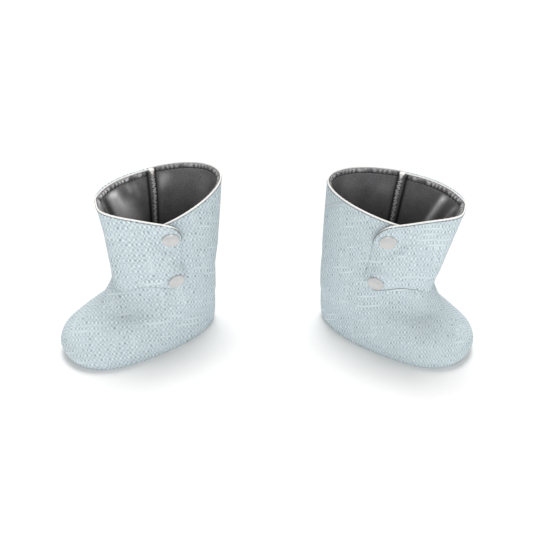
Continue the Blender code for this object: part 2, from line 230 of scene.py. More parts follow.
# How each cover stands. heading (degrees) turns it. instep, toe_swing, lean, the bows, the cuff's back and
# front and the rim's five heights are the shape that its cloth has taken. rim_flap is half-way from the V to
# the front. lap and corner are how far the flap laps past the V and the height of its rounded top corner.
Stance = namedtuple(
    "Stance",
    "mirror heading instep toe_swing lean back_bow front_bow cuff_back cuff_front"
    " rim_back rim_v rim_flap rim_front rim_side v_place lap corner",
)
STANCES = {
    "left": Stance(
        1, 212.1, 78.4, -2.5, 0.8, -0.8, -1.5, -7.5, 85.8,
        120.1, 103.2, 111.5, 115.4, 120.1, 0.291, 9.0, 13.5,
    ),
    "right": Stance(
        -1, -33.0, 86.6, -1.2, 0.4, -0.3, 0.1, 2.3, 104.2,
        116.9, 106.0, 113.6, 115.7, 119.8, 0.312, 10.6, 16.0,
    ),
}

# The flap's lower edge: millimetres from the V, and the rise above the instep
FLAP_HEM = ((-9.0, 1.0), (0.0, 1.6), (8.0, 4.2), (17.0, 6.2), (27.0, 4.6), (37.0, 0.3), (40.0, 0.3))

# Soft creases: the place of the middle (fraction and height), the crease's length and width, how far it
# stands out (a trough is negative), and how far its top end leans towards the front, in degrees
CLOTH_CREASES = {
    "left": (
        (0.48, 57, 30, 5, -0.45, 78), (0.43, 64, 24, 4.5, 0.3, 66), (0.55, 60, 26, 5.5, -0.35, -70),
        (0.97, 62, 34, 6, -0.5, 84), (0.04, 70, 26, 5, 0.3, -74), (0.15, 56, 30, 8, -0.35, 62),
        (0.86, 84, 38, 9, -0.45, 12), (0.62, 92, 34, 8, 0.35, -8), (0.76, 30, 26, 8, -0.4, 58),
        (0.35, 34, 34, 11, 0.6, -48),
    ),
    "right": (
        (0.47, 58, 26, 5, -0.4, 74), (0.54, 63, 30, 5, 0.35, -62), (0.95, 66, 30, 6, -0.45, 80),
        (0.03, 58, 34, 5.5, -0.35, -82), (0.17, 62, 24, 7, 0.25, 58), (0.82, 90, 32, 9, -0.4, -10),
        (0.61, 80, 36, 8, -0.35, 14), (0.79, 28, 30, 8, -0.35, 52), (0.36, 32, 32, 11, 0.6, -46),
    ),
}
LINING_CREASES = {
    "left": (
        (0.53, 96, 44, 2.4, -1.3, -8), (0.568, 100, 40, 3, -1.7, -18), (0.64, 100, 46, 4.2, -2.1, -17),
        (0.686, 92, 36, 5.4, -1.4, -24), (0.722, 104, 26, 3.4, -0.8, -18), (0.82, 100, 30, 5, -0.8, 16),
        (0.87, 92, 44, 6, -0.7, -5), (0.94, 90, 40, 5, -0.8, 4), (0.06, 88, 40, 4, -1, 8),
        (0.15, 84, 34, 5, -0.8, -6), (0.44, 86, 38, 4, -1.1, 5),
    ),
    "right": (
        (0.53, 90, 46, 2.6, -1, -4), (0.584, 100, 30, 2.6, -1.5, -26), (0.642, 98, 44, 3.4, -2.1, -18),
        (0.72, 94, 36, 6, -0.8, -12), (0.815, 94, 36, 6, -0.7, 8), (0.86, 90, 48, 5, -0.7, -4),
        (0.93, 96, 36, 5, -0.9, 7), (0.05, 90, 40, 4.5, -0.9, -5), (0.16, 86, 36, 5, -0.8, 6),
        (0.43, 88, 40, 4.5, -1, -5),
    ),
}

# Painted highlights on the lining's folds: paler colour where light would catch their ridges, and one painted
# dark hollow where the fifth value is negative. Laid out like the creases, with the strength as the fifth
# value
LINING_PAINTED_LIGHT = {
    "left": (
        (0.545, 103, 40, 2.8, 0.42, -16), (0.596, 102, 40, 2.4, -0.45, -20), (0.642, 99, 64, 5, 1.6, -17),
        (0.69, 90, 36, 6.5, 0.62, -26), (0.69, 112, 16, 2, 0.35, -24), (0.718, 108, 18, 2.4, 0.16, -20),
        (0.808, 111, 20, 4.5, 0.34, 34), (0.95, 100, 36, 7, 0.08, 5),
    ),
    "right": (
        (0.576, 101, 24, 1.8, 0.42, -22), (0.642, 99, 48, 2.6, 0.8, -18),
        (0.815, 104, 22, 5, 0.08, 70), (0.93, 100, 36, 7, 0.07, 5),
    ),
}

# How fine the walls are. Columns that end a piece of cloth are counted in steps of a coarse grid
COARSE_COLUMNS = 36
V_COLUMN, UNDERLAP_COLUMN, FRONT_COLUMN, SEAM_COLUMN = 11, 14, 18, 28
UNDERLAY_START, UNDERLAY_FULL, UNDERLAY_END = 14, 15, 17
UNDERLAY_SHARE = 1 / 6
OUTLINE_STEPS = 360
SHAFT_LEVELS = 72
SHAFT_TOP = 124.0
FOOT_STEPS = 6
CALF_STEPS = 48
HEM_ROWS_FROM = 0.92
HEM_ROWS = np.linspace(HEM_ROWS_FROM, 1, 12)
Fineness = namedtuple("Fineness", "columns foot calf flap_columns low_turns straight top_turns is_lining")
FINE_CLOTH = Fineness(5, 6, np.linspace(0, 1, 43), 84, 5, 28, 12, 0)
LINING_ROWS = np.concatenate([np.linspace(0, HEM_ROWS_FROM, 24, endpoint=False), HEM_ROWS])
FINE_LINING = Fineness(13, 2, LINING_ROWS, 220, 3, 22, 16, 1)

# The weave's gaps a millimetre of cloth: along the level threads and up across them, for the columns of gaps
# and for their rows. The level threads lie level as the pair stands before the viewer
WEAVE = {"left": ((0.335, 0.045), (0.014, -0.273)), "right": ((0.445, 0.005), (0.011, -0.284))}
PLAIN = ((1, 0), (0, 1))
LEVEL_STEP = 1.5
TRUE_RUN = 0.5

# The flat cuts, in metres: width, length and area, with 6 mm turned in at the edges, then how the cloth is
# held, the cloths that it rests on and what is sewn on it
Cut = namedtuple("Cut", "width length area held rests_on sewn_on", defaults=((), ()))

# The studio: the surround's colour and strength, then each lamp's name, the way to it, how wide it looks from
# the floor, in degrees, and its strength. The floor's reach and the camera's are metres
SURROUND_COLOUR, SURROUND_STRENGTH = (1, 0.965, 0.94, 1), 0.41
LAMPS = (
    ("overhead", (0.0, 0.26, 1.0), 30, 2.06),
    ("front_fill", (-0.05, -1.0, 0.08), 60, 1.75),
    ("right_fill", (1.0, -0.35, 0.05), 60, 0.4),
)
FLOOR_REACH = 6.0
CAMERA_REACH = 30.0

# The camera, set in millimetres from the floor's middle. It looks down on the pair, by degrees
VIEWER_ELEVATION = 30.2
AIM = (-0.6, 15.7, 50.7)
CAMERA_DISTANCE = 670.0
PIXELS_PER_MM = 1.36
IMAGE_SIDE = 533
SENSOR = 36.0


def bowed(low, middle, high, part):
    """A parabola through three values, at parts 0, 0.5 and 1."""
    ends = low * 2 * (part - 0.5) * (part - 1) + high * 2 * part * (part - 0.5)
    return ends + middle * 4 * part * (1 - part)


def eased(x, places, values):
    """A smooth curve through a table, with the chords' mean slope at its inner rows."""
    places, values = np.asarray(places, float), np.asarray(values, float)
    x = np.clip(x, places[0], places[-1])
    row = np.clip(np.searchsorted(places, x, side="right") - 1, 0, len(places) - 2)
    spread = (...,) + (None,) * (values.ndim - 1)
    step = np.diff(places)
    chord = np.diff(values, axis=0) / step[spread]
    slope = np.concatenate([chord[:1], (chord[:-1] + chord[1:]) / 2, chord[-1:]])
    t = ((x - places[row]) / step[row])[spread]
    step = step[row][spread]
    start = values[row] * (1 + 2 * t) * (1 - t) ** 2 + slope[row] * step * t * (1 - t) ** 2
    return start + values[row + 1] * t**2 * (3 - 2 * t) + slope[row + 1] * step * t**2 * (t - 1)


def smooth_step(part):
    part = np.clip(part, 0, 1)
    return part * part * (3 - 2 * part)


def bell(away, reach):
    """1 where away is nothing, and less and less past a reach."""
    return np.exp(-((away / reach) ** 2))


def unit(vectors):
    return vectors / np.linalg.norm(vectors, axis=-1, keepdims=True)


def walked(lengths):
    """How far along a line each of its points is, from the lengths between them."""
    return np.concatenate([[0], np.cumsum(lengths)])


def outline_points(back, front, widest, half_width, square_back, square_front, fractions):
    """X and Y at fractions of an outline, counted along it on each half from the back to the front."""
    angle = np.linspace(0, 2 * math.pi, OUTLINE_STEPS + 1)
    along, across = np.cos(angle), np.sin(angle)
    behind = along > 0
    square = np.where(behind, square_back, square_front)
    reach = np.where(behind, back - widest, front - widest)
    x = widest + reach * np.abs(along) ** (2 / square)
    y = np.sign(across) * half_width * np.abs(across) ** (2 / square)
    run = walked(np.hypot(np.diff(x), np.diff(y)))
    half = OUTLINE_STEPS // 2
    inner = run[: half + 1] / run[half] / 2
    outer = 0.5 + (run[half + 1 :] - run[half]) / (run[-1] - run[half]) / 2
    place = np.concatenate([inner, outer])
    return np.interp(fractions, place, x), np.interp(fractions, place, y)


def foot_points(stance, ring, fractions):
    """One outline of the foot."""
    toe = FOOT_LENGTH - ring.toe_in
    length = toe + (stance.instep - toe) * ring.run - ring.heel_in
    front_height = TOE_HEIGHT * ring.toe_part + (INSTEP_HEIGHT - TOE_HEIGHT) * ring.vamp_part
    back_height = INSTEP_HEIGHT * ring.heel_part
    half_width = ring.half_width * FOOT_HALF_WIDTH
    spread = ring.heel_in, ring.heel_in + length, ring.heel_in + ring.widest * length, half_width
    x, y = outline_points(*spread, ring.square_back, ring.square_front, fractions)
    z = back_height + (front_height - back_height) * (x - ring.heel_in) / length
    swing = stance.toe_swing * np.clip((x - ARCH_START) / ARCH_LENGTH, 0, BEND_LIMIT) ** 2
    return np.stack([x, y + swing, z], axis=-1)


def foot_grid(stance, fractions, fineness):
    """The foot's rows of points, with so many from one outline to the next, and their places among them."""
    rings = np.array([foot_points(stance, ring, fractions) for ring in FOOT_RINGS])
    steps = np.linspace(0, LAST_RING, LAST_RING * fineness + 1)
    return eased(steps, np.arange(LAST_RING + 1), rings), steps


@lru_cache(maxsize=None)
def shaft_table(stance):
    """The shaft's outlines at even levels, each with even steps along it."""
    steps = np.linspace(0, 1, OUTLINE_STEPS + 1)
    ankle_width = ANKLE.half_width * FOOT_HALF_WIDTH
    front_middle = (stance.instep + stance.cuff_front) / 2 + stance.front_bow
    outlines = []
    for height in np.linspace(INSTEP_HEIGHT, SHAFT_TOP, SHAFT_LEVELS):
        part = (height - INSTEP_HEIGHT) / (CUFF_LEVEL - INSTEP_HEIGHT)
        back = bowed(0, stance.cuff_back / 2 + stance.back_bow, stance.cuff_back, part)
        front = bowed(stance.instep, front_middle, stance.cuff_front, part)
        half_width = ankle_width + (CUFF_HALF_WIDTH - ankle_width) * part
        square_front = ANKLE.square_front + (SHAFT_SQUARE - ANKLE.square_front) * min(1, 3 * part)
        x, y = outline_points(back, front, (back + front) / 2, half_width, SHAFT_SQUARE, square_front, steps)
        lean = stance.lean * min(BEND_LIMIT, (height - INSTEP_HEIGHT) / LEAN_RISE)
        outlines.append(np.stack([x, y + lean], axis=-1))
    return np.array(outlines)


def looked_up(table, level, fractions):
    """Values between the rows and the even steps round a table."""
    around = (fractions % 1) * OUTLINE_STEPS
    step = np.clip(around.astype(int), 0, OUTLINE_STEPS - 1)
    low = np.clip(np.floor(level).astype(int), 0, len(table) - 2)
    s, t = (around - step)[..., None], (level - low)[..., None]
    below, above = (table[row, step] * (1 - s) + table[row, step + 1] * s for row in (low, low + 1))
    return below * (1 - t) + above * t


def shaft_points(stance, fractions, heights):
    """Points of the shaft's outer face."""
    fractions, heights = np.broadcast_arrays(np.asarray(fractions, float), np.asarray(heights, float))
    level = (heights - INSTEP_HEIGHT) / (SHAFT_TOP - INSTEP_HEIGHT) * (SHAFT_LEVELS - 1)
    return np.concatenate([looked_up(shaft_table(stance), level, fractions), heights[..., None]], axis=-1)


def shaft_face(stance, fractions, heights):
    """Points of the shaft's outer face, and its outward normals from points a millimetre apart."""
    points, above = (shaft_points(stance, fractions, heights + rise) for rise in (0, 1))
    before, behind = (shaft_points(stance, fractions + step / CUFF_GIRTH, heights) for step in (1, -1))
    return points, unit(np.cross(above - points, before - behind))


def rim_height(stance, fractions):
    """The rim, from the foot of the V round the front, the outer side and the back to the V again."""
    places = (stance.v_place, (stance.v_place + 0.5) / 2, 0.5, RIM_SIDE, 1, 1 + stance.v_place)
    flap = stance.rim_v, stance.rim_flap, stance.rim_front
    return eased(fractions, places, (*flap, stance.rim_side, stance.rim_back, stance.rim_v))


def rolled(fractions):
    """How far the flap's edging has rolled inwards, past the front."""
    return smooth_step((np.asarray(fractions) - ROLL_START) / (ROLL_END - ROLL_START))


def lining_drop(fractions, on_flap):
    """How far the lining's top lies under the rim."""
    return LINING_UNDER_RIM + (LINING_UNDER_ROLL - LINING_UNDER_RIM) * rolled(fractions) * on_flap


def ragged_top(fractions):
    """How much deeper or higher the lining's ragged top edge lies, place by place."""
    around = fractions * CUFF_GIRTH
    ragged = np.sin(around * RAGGED_RATE + 1.5 * np.sin(around / 3.1))
    return RAGGED_TOP * ragged * (0.6 + 0.4 * np.sin(around / 5.3))


def seam_top(stance):
    """The rim's height at the side seam."""
    return float(rim_height(stance, SIDE_SEAM))


def upper_rim(stance, fractions):
    """The rim of the upper, whose underlap runs straight on past the V, under the flap."""
    fractions = np.asarray(fractions, float)
    rim = rim_height(stance, np.where(fractions < stance.v_place, fractions + 1, fractions))
    under = (fractions > stance.v_place) & (fractions < 0.5)
    fall = (stance.rim_back - stance.rim_v) / stance.v_place
    return np.where(under, stance.rim_v - fall * (fractions - stance.v_place), rim)


def hem_height(stance, fractions):
    """The flap's lower edge."""
    from_v = (np.asarray(fractions) - stance.v_place) * CUFF_GIRTH
    return INSTEP_HEIGHT + eased(from_v, *zip(*FLAP_HEM))


def free_edge(stance):
    """The fraction of the flap's free edge."""
    return stance.v_place - stance.lap / CUFF_GIRTH


def normals_of(points, closed):
    """Outward normals of a grid whose rows rise and whose columns run to the inner side."""
    if closed:
        padded = np.concatenate([points[:, -1:], points, points[:, :1]], axis=1)
        along = np.gradient(padded, axis=1)[:, 1:-1]
    else:
        along = np.gradient(points, axis=1)
    return unit(np.cross(np.gradient(points, axis=0), along))


# A cloth's form: points and outward normals of a grid, each point's fraction, height, distance under the rim
# and place on the flat cloth, how much of its full depth it has, which fields have cloth, and whether the
# last column joins the first
Form = namedtuple(
    "Form",
    "points normals fractions heights under_rim flat fullness kept closed",
    defaults=(1.0, None, False),
)


def upper_form(stance, fine):
    """The upper: all round the foot, then the calf up to the rim."""
    column = np.arange(COARSE_COLUMNS * fine.columns) / fine.columns
    landmarks = (0, V_COLUMN, FRONT_COLUMN, SEAM_COLUMN, COARSE_COLUMNS)
    places = (0, stance.v_place, 0.5, SIDE_SEAM + SEAM_GAP / 2 / CUFF_GIRTH, 1)
    fractions = np.interp(column, landmarks, places)
    foot, steps = foot_grid(stance, fractions, fine.foot)

    rim = upper_rim(stance, fractions) - fine.is_lining * lining_drop(fractions, False)
    share = fine.calf[1:, None]
    heights = INSTEP_HEIGHT + (rim - fine.is_lining * ragged_top(fractions) - INSTEP_HEIGHT) * share
    strip_rise = hem_height(stance, fractions) + UNDERLAY - INSTEP_HEIGHT
    strip = INSTEP_HEIGHT + strip_rise * share / UNDERLAY_SHARE
    into_strip = np.clip((column - UNDERLAY_START) / (UNDERLAY_FULL - UNDERLAY_START), 0, 1)
    into_strip = np.where(column > UNDERLAY_END, 0, into_strip)
    in_strip = share <= UNDERLAY_SHARE + 1e-6
    heights = np.where(in_strip, heights + (strip - heights) * into_strip, heights)

    points = np.concatenate([foot, shaft_points(stance, fractions, heights)])
    around = np.broadcast_to(fractions, points.shape[:2])
    normals = normals_of(points, closed=True)
    normals[0, :, 2] = 0
    normals[0] = unit(normals[0])
    foot_climb = np.broadcast_to(steps[:, None] * FOOT_STEPS, foot.shape[:2])
    climb = np.concatenate([foot_climb, calf_climb(heights)])
    flat = looked_up(weave_table(stance), climb, around)

    on_foot = np.arange(len(points) - 1)[:, None] < len(foot) - 1
    strip_rows = np.concatenate([np.ones((len(foot) - 1, 1), bool), in_strip])
    behind_flap = (column >= UNDERLAP_COLUMN) & (column < SEAM_COLUMN)
    underlay = strip_rows & (column >= UNDERLAY_START) & (column < UNDERLAY_END)
    kept = on_foot | ~behind_flap | underlay
    return Form(points, normals, around, points[..., 2], rim - points[..., 2], flat, 1.0, kept, True)


def calf_climb(heights):
    """The row of the weave's table for a height on the calf."""
    return LAST_RING * FOOT_STEPS + (heights - INSTEP_HEIGHT) / (SHAFT_TOP - INSTEP_HEIGHT) * CALF_STEPS


@lru_cache(maxsize=None)
def weave_table(stance):
    """Where the form's places lie on the cloth, along its level threads and up across them."""
    fractions = np.linspace(0, 1, OUTLINE_STEPS + 1)
    heights = np.linspace(INSTEP_HEIGHT, SHAFT_TOP, CALF_STEPS + 1)[1:, None]
    foot = foot_grid(stance, fractions, FOOT_STEPS)[0]
    points = np.concatenate([foot, shaft_points(stance, fractions, heights)])
    front = OUTLINE_STEPS // 2
    inner = laid_level(stance, points[:, : front + 1])
    outer = laid_level(stance, points[:, front:][:, ::-1] * (1, -1, 1))[:, ::-1]
    return np.concatenate([inner, outer[:, 1:]], axis=1)


def laid_level(stance, points):
    """Lays one half of the form, from the back to the front, on level threads that keep their length."""
    turn, look = math.radians(stance.heading), math.radians(VIEWER_ELEVATION)
    across, along = points[..., 1] * stance.mirror, points[..., 0]
    side = along * math.cos(turn) - across * math.sin(turn)
    far = along * math.sin(turn) + across * math.cos(turn)
    rise = points[..., 2] * math.cos(look) + far * math.sin(look)
    levels = np.arange(rise.min(), rise.max(), LEVEL_STEP)
    columns = range(points.shape[1])
    crossed = [(levels >= rise[0, column]) & (levels <= rise[-1, column]) for column in columns]
    traits = np.concatenate([points, side[..., None]], axis=-1)
    met = np.full((len(levels), points.shape[1], 4), np.nan)
    for column in columns:
        for trait in range(4):
            met[crossed[column], column, trait] = np.interp(
                levels[crossed[column]], rise[:, column], traits[:, column, trait]
            )
    length = np.linalg.norm(np.diff(met[..., :3], axis=1), axis=-1)
    length = length * TRUE_RUN + np.abs(np.diff(met[..., 3], axis=1)) * (1 - TRUE_RUN)
    middle = len(levels) // 2
    steepest = np.nan_to_num(np.diff(met[middle, :, 3]) / length[middle])
    facing = int(np.argmax(np.abs(steepest)))
    forward = np.sign(steepest[facing])
    run = np.full(met.shape[:2], np.nan)
    for level in range(len(levels)):
        reached = np.flatnonzero(~np.isnan(met[level, :, 3]))
        if len(reached):
            anchor = reached[np.argmin(np.abs(reached - facing))]
            walk = walked(np.nan_to_num(length[level]))
            run[level] = met[level, anchor, 3] + forward * (walk - walk[anchor])
    laid = np.empty(rise.shape)
    for column in columns:
        laid[:, column] = np.interp(rise[:, column], levels[crossed[column]], run[crossed[column], column])
    return np.stack([laid, rise], axis=-1)


def flap_edge(stance, fine):
    """The flap's free edge from its hem to the V: rounded low corner, straight edge, rounded top corner."""
    free = free_edge(stance)
    turns = np.linspace(0, math.pi / 2, fine.low_turns)
    low = float(hem_height(stance, free)) + FLAP_LOW_CORNER * (1 - np.cos(turns))
    corner = np.column_stack([free + FLAP_LOW_CORNER / CUFF_GIRTH * (1 - np.sin(turns)), low])
    heights = np.linspace(low[-1], stance.rim_v - stance.corner, fine.straight)[1:-1]
    straight = np.column_stack([np.full(len(heights), free), heights])
    turns = np.linspace(math.pi / 2, 0, fine.top_turns)
    sloped = TOP_CORNER_SLOPE * stance.lap
    top = stance.rim_v - sloped * np.sin(turns) - (stance.corner - sloped) * (1 - np.cos(turns))
    rounded = np.column_stack([stance.v_place - (stance.v_place - free) * np.sin(turns), top])
    return np.concatenate([corner, straight, rounded])


def pressed_edge(stance, fractions):
    """1 at the flap's free edge, where its layers are pressed thin, and 0 further in."""
    return 1 - smooth_step((np.asarray(fractions) - free_edge(stance)) * CUFF_GIRTH / PRESSED_REACH)


def flap_face(stance, fractions, heights):
    """Points and normals of the flap's outer face: out from the form on the lap, most at its top corner."""
    points, normals = shaft_face(stance, fractions, heights)
    corner_height = stance.rim_v - stance.corner / 2
    away = np.hypot((fractions - free_edge(stance)) * CUFF_GIRTH, heights - corner_height)
    stands = LAP_LIFT * (1 - smooth_step((np.asarray(fractions) - LIFT_END) / LIFT_FADE))
    stands += CORNER_CURL * (1 - smooth_step(away / CORNER_CURL_REACH))
    stands -= PRESSED_DROP * pressed_edge(stance, fractions)
    return points + normals * stands[..., None], normals


def flap_form(stance, fine):
    """The flap, moved out from the form where it laps."""
    edge = flap_edge(stance, fine)
    seam = SIDE_SEAM - SEAM_GAP / 2 / CUFF_GIRTH
    across = np.linspace(0, 1, fine.flap_columns + 1)
    fractions = edge[:, :1] + (seam - edge[:, :1]) * across
    rises = (edge[:, 1:] - edge[0, 1]) / (stance.rim_v - edge[0, 1])
    low = hem_height(stance, fractions)
    rim = rim_height(stance, np.maximum(fractions, stance.v_place))
    top = rim - fine.is_lining * lining_drop(fractions, True)
    heights = low + (top - fine.is_lining * ragged_top(fractions) - low) * rises
    flat = looked_up(weave_table(stance), calf_climb(heights), fractions)
    fullness = 1 - (1 - PRESSED_SHARE) * pressed_edge(stance, fractions)[..., None]
    return Form(*flap_face(stance, fractions, heights), fractions, heights, top - heights, flat, fullness)


def allowance_form(stance):
    """The side seam's allowance, on the lining's inner side."""
    half = ALLOWANCE_WIDTH / 2 / CUFF_GIRTH
    across = np.linspace(SIDE_SEAM - half, SIDE_SEAM + half, ALLOWANCE_COLUMNS)
    top = seam_top(stance) - ALLOWANCE_TOP
    upward = np.linspace(INSTEP_HEIGHT + ALLOWANCE_BOTTOM, top, ALLOWANCE_ROWS)
    fractions, heights = np.meshgrid(across, upward)
    points = shaft_points(stance, fractions, heights)
    flat = np.stack([(fractions - SIDE_SEAM) * CUFF_GIRTH, heights], axis=-1)
    return Form(points, normals_of(points, False), fractions, heights, heights, flat)


def allowance_shade(form):
    """The allowance is a little darker all over, with painted shadow along its two edges, where it is
    darkest.
    """
    across = np.abs(form.fractions - SIDE_SEAM) * CUFF_GIRTH * 2 / ALLOWANCE_WIDTH
    edge = smooth_step((across - ALLOWANCE_EDGE_START) / ALLOWANCE_EDGE_FADE)
    return -ALLOWANCE_SHADE - ALLOWANCE_EDGE_PAINTED_SHADOW * edge


def creases(form, table):
    """How far the creases of a table move each point outwards. Given the table of painted light, it gives
    instead how much painted highlight each point gets.
    """
    moved = np.zeros(form.points.shape[:2])
    for fraction, height, length, width, stands, lean in table:
        around = ((form.fractions - fraction + 0.5) % 1 - 0.5) * CUFF_GIRTH
        upward = form.heights - height
        turn = math.radians(lean)
        along = upward * math.cos(turn) + around * math.sin(turn)
        across = around * math.cos(turn) - upward * math.sin(turn)
        moved += stands * bell(across, width) * smooth_step(1.6 * (1 - np.abs(along) / (length / 2)))
    return moved


def placed(cover, points):
    """Points of a cover's own frame as points of the pair's, in metres."""
    turn = math.radians(cover.stance.heading)
    x, y, z = points[..., 0], points[..., 1] * cover.stance.mirror, points[..., 2]
    east = x * math.cos(turn) - y * math.sin(turn) + cover.x
    north = x * math.sin(turn) + y * math.cos(turn) + cover.y
    return np.stack([east, north, z], axis=-1) * MM


# A cap's middle on the flap, the cloth's own normal, the way the cap faces, and its slopes on the cloth
Seat = namedtuple("Seat", "middle straight facing rise run")


def snap_seat(cover, snap):
    """Where and how a cap sits on the flap."""
    beside = np.array([-SNAP_SEAT, 0, SNAP_SEAT])
    fraction = cover.stance.v_place + snap.from_v / CUFF_GIRTH
    patch, normals = flap_face(
        cover.stance, *np.meshgrid(fraction + beside / CUFF_GIRTH, snap.height + beside)
    )
    world = placed(cover, patch)
    middle = world[1, 1]
    straight = unit(placed(cover, patch[1, 1] + normals[1, 1]) - middle)
    upward, forward = unit(world[2, 1] - world[0, 1]), unit(world[1, 2] - world[1, 0])
    facing = unit(np.array(snap.facing))
    away = facing @ straight
    return Seat(middle, straight, facing, -(facing @ upward) / away, -(facing @ forward) / away)


def snap_pull(cover, form, outer):
    """The cloth round each snap follows its tilted cap. The layers under the flap are only pressed in."""
    moved = np.zeros(form.points.shape[:2])
    for snap in SNAPS[cover.side].values():
        around = (form.fractions - cover.stance.v_place) * CUFF_GIRTH - snap.from_v
        upward = form.heights - snap.height
        away = np.hypot(around, upward) - SNAP_PULL_START
        seat = snap_seat(cover, snap)
        pulled = SNAP_RAISE + (upward * seat.rise + around * seat.run) * SNAP_PULL
        near = 1 - smooth_step(away / (SNAP_PULL_END - SNAP_PULL_START))
        moved += near * (pulled if outer else np.minimum(pulled, 0))
    return moved


def lining_relief(cover, form):
    """The lining's folds, all inwards, with its puckered hem and the stitches' groove, and the painted light
    on its colour: painted highlights on folds, on the hem's puckers and its ragged top, painted shade in the
    pits, along the groove and beside the seam.
    """
    around = form.fractions * CUFF_GIRTH
    under = form.under_rim
    under_hem = under - HEM_DEPTH
    on_calf = form.heights > INSTEP_HEIGHT - 1
    beside_seam = np.abs(around - SIDE_SEAM * CUFF_GIRTH) - ALLOWANCE_WIDTH / 2
    seam_free = smooth_step((beside_seam - SEAM_CLEAR) / SEAM_CLEAR_FADE)

    wander = 2.4 * np.sin(around / 6.1) + 1.6 * np.sin(around / 3.3 + 1.3)
    pucker = np.abs(np.sin(math.pi * (around + wander) / HEM_PUCKER))
    unevenness = 0.65 + 0.35 * np.sin(around / 4.3 + 0.6) * np.sin(around / 11.0)
    band = np.sin(math.pi * np.clip(under / HEM_DEPTH, 0, 1)) ** HEM_ROUNDNESS
    below = np.exp(-np.clip(under_hem, 0, None) / HEM_BELOW_REACH) * (under_hem > 0)
    folds = creases(form, LINING_CREASES[cover.side]) * smooth_step(under_hem / FOLDS_FADE)
    hem = HEM_PUCKER_HEIGHT * pucker * unevenness * (band + HEM_BELOW * below)
    sunk = LINING_EASE * smooth_step(under / EASE_REACH) - HEM_GROOVE * bell(under_hem, HEM_GROOVE_REACH)
    relief = ((folds - hem) * seam_free - sunk) * on_calf

    # Painted highlights: paler colour on the folds in the painted light table, on the hem's puckers, most
    # near the front, and on the ragged top edge
    front = bell((form.fractions - HEM_FRONT) * CUFF_GIRTH, HEM_FRONT_REACH)
    pale = HEM_PAINTED_HIGHLIGHT * (1 + HEM_FRONT_PAINTED_HIGHLIGHT[cover.side] * front)
    painted_light = creases(form, LINING_PAINTED_LIGHT[cover.side]) * smooth_step(under_hem / PAINTED_LIGHT_FADE)
    painted_light += (0.1 + 0.9 * pucker) * unevenness * (band + HEM_BELOW_PAINTED_HIGHLIGHT * below) * pale
    ragged = 0.55 + 0.45 * np.sin(around * RAGGED_RATE + wander)
    painted_light += RAGGED_PAINTED_HIGHLIGHT * bell(under, RAGGED_REACH) * ragged
    # Painted shade: darker colour in the puckers' pits, along the stitches' groove and beside the seam's
    # allowance
    shade = PIT_PAINTED_SHADE * (1 - pucker) * band + STITCH_PAINTED_SHADE * bell(under_hem, STITCH_REACH)
    shade += SEAM_PAINTED_SHADOW * bell(beside_seam, SEAM_PAINTED_SHADOW_REACH)
    relief += snap_pull(cover, form, outer=False)
    return relief, np.clip(painted_light * seam_free - shade, -1, 1) * on_calf


def laid_grid(mesh, points):
    """Adds a grid of faces whose corners lie at the points, row by row."""
    rows, columns = points.shape[:2]
    made = bmesh.ops.create_grid(mesh, x_segments=columns - 1, y_segments=rows - 1, size=0.5)
    for vert, point in zip(made["verts"], points.reshape(-1, 3)):
        vert.co = point
    return made["verts"]


def cloth_wall(cover, form, depth, thickness, weave, relief=0.0, painted_light=0.0, base=None):
    """A wall of cloth: a grid laid on its outer face, then extruded to its inner one. Its vertices carry
    painted light for the satin's colour: painted highlights where the value is positive, painted shade where
    it is negative.
    """
    spread = form.points.shape[:2]
    outward = np.broadcast_to(relief, spread)[..., None]
    grids = []
    for inward in (depth, depth + thickness):
        face = form.points - form.normals * (inward * form.fullness - outward)
        if base is not None:
            face[0, :, 2] = base
        grids.append(placed(cover, face))
    grids += [form.flat @ np.array(weave).T, np.broadcast_to(painted_light, spread)[..., None]]
    if form.closed:
        grids = [np.concatenate([grid, grid[:, :1]], axis=1) for grid in grids]
    outer, inner, flat, painted_light = (grid.reshape(-1, grid.shape[-1]) for grid in grids)
    rows, columns = grids[0].shape[:2]

    mesh = bmesh.new()
    number = mesh.verts.layers.int.new("number")
    # Painted light for the satin's colour: painted highlights where positive, painted shade where negative
    painted_light_layer = mesh.verts.layers.float.new("painted_light")
    grain = mesh.loops.layers.uv.new("cloth")
    for place, vert in enumerate(laid_grid(mesh, outer.reshape(rows, columns, 3))):
        vert[number], vert[painted_light_layer] = place, painted_light[place, 0]
    for face in mesh.faces:
        for loop in face.loops:
            loop[grain].uv = flat[loop.vert[number]]
    if form.kept is not None:
        corners = [min(vert[number] for vert in face.verts) for face in mesh.faces]
        cut = [face for face, corner in zip(mesh.faces, corners) if not form.kept[divmod(corner, columns)]]
        bmesh.ops.delete(mesh, geom=cut, context="FACES")
    bmesh.ops.remove_doubles(mesh, verts=mesh.verts, dist=1e-6)
    extruded = bmesh.ops.extrude_face_region(mesh, geom=mesh.faces[:])
    for part in extruded["geom"]:
        if isinstance(part, bmesh.types.BMVert):
            part.co = inner[part[number]]
    return mesh


def sole_piece(cover, depth, bottom, thickness, weave):
    """A flat piece of cloth, a depth inside the upper's edge at the sole, seen from below."""
    flat = sole_outline(cover.stance, depth)
    flat[:, 2] = bottom
    mesh = bmesh.new()
    grain = mesh.loops.layers.uv.new("cloth")
    bmesh.ops.create_circle(mesh, cap_ends=True, segments=len(flat), radius=1)
    for vert, point in zip(mesh.verts, placed(cover, flat)):
        vert.co = point
    raised = bmesh.ops.extrude_face_region(mesh, geom=mesh.faces[:])
    lifted = [part for part in raised["geom"] if isinstance(part, bmesh.types.BMVert)]
    bmesh.ops.translate(mesh, vec=(0, 0, thickness * MM), verts=lifted)
    for face in mesh.faces:
        for loop in face.loops:
            loop[grain].uv = np.array(weave) @ (loop.vert.co.x / MM, loop.vert.co.y / MM)
    return mesh


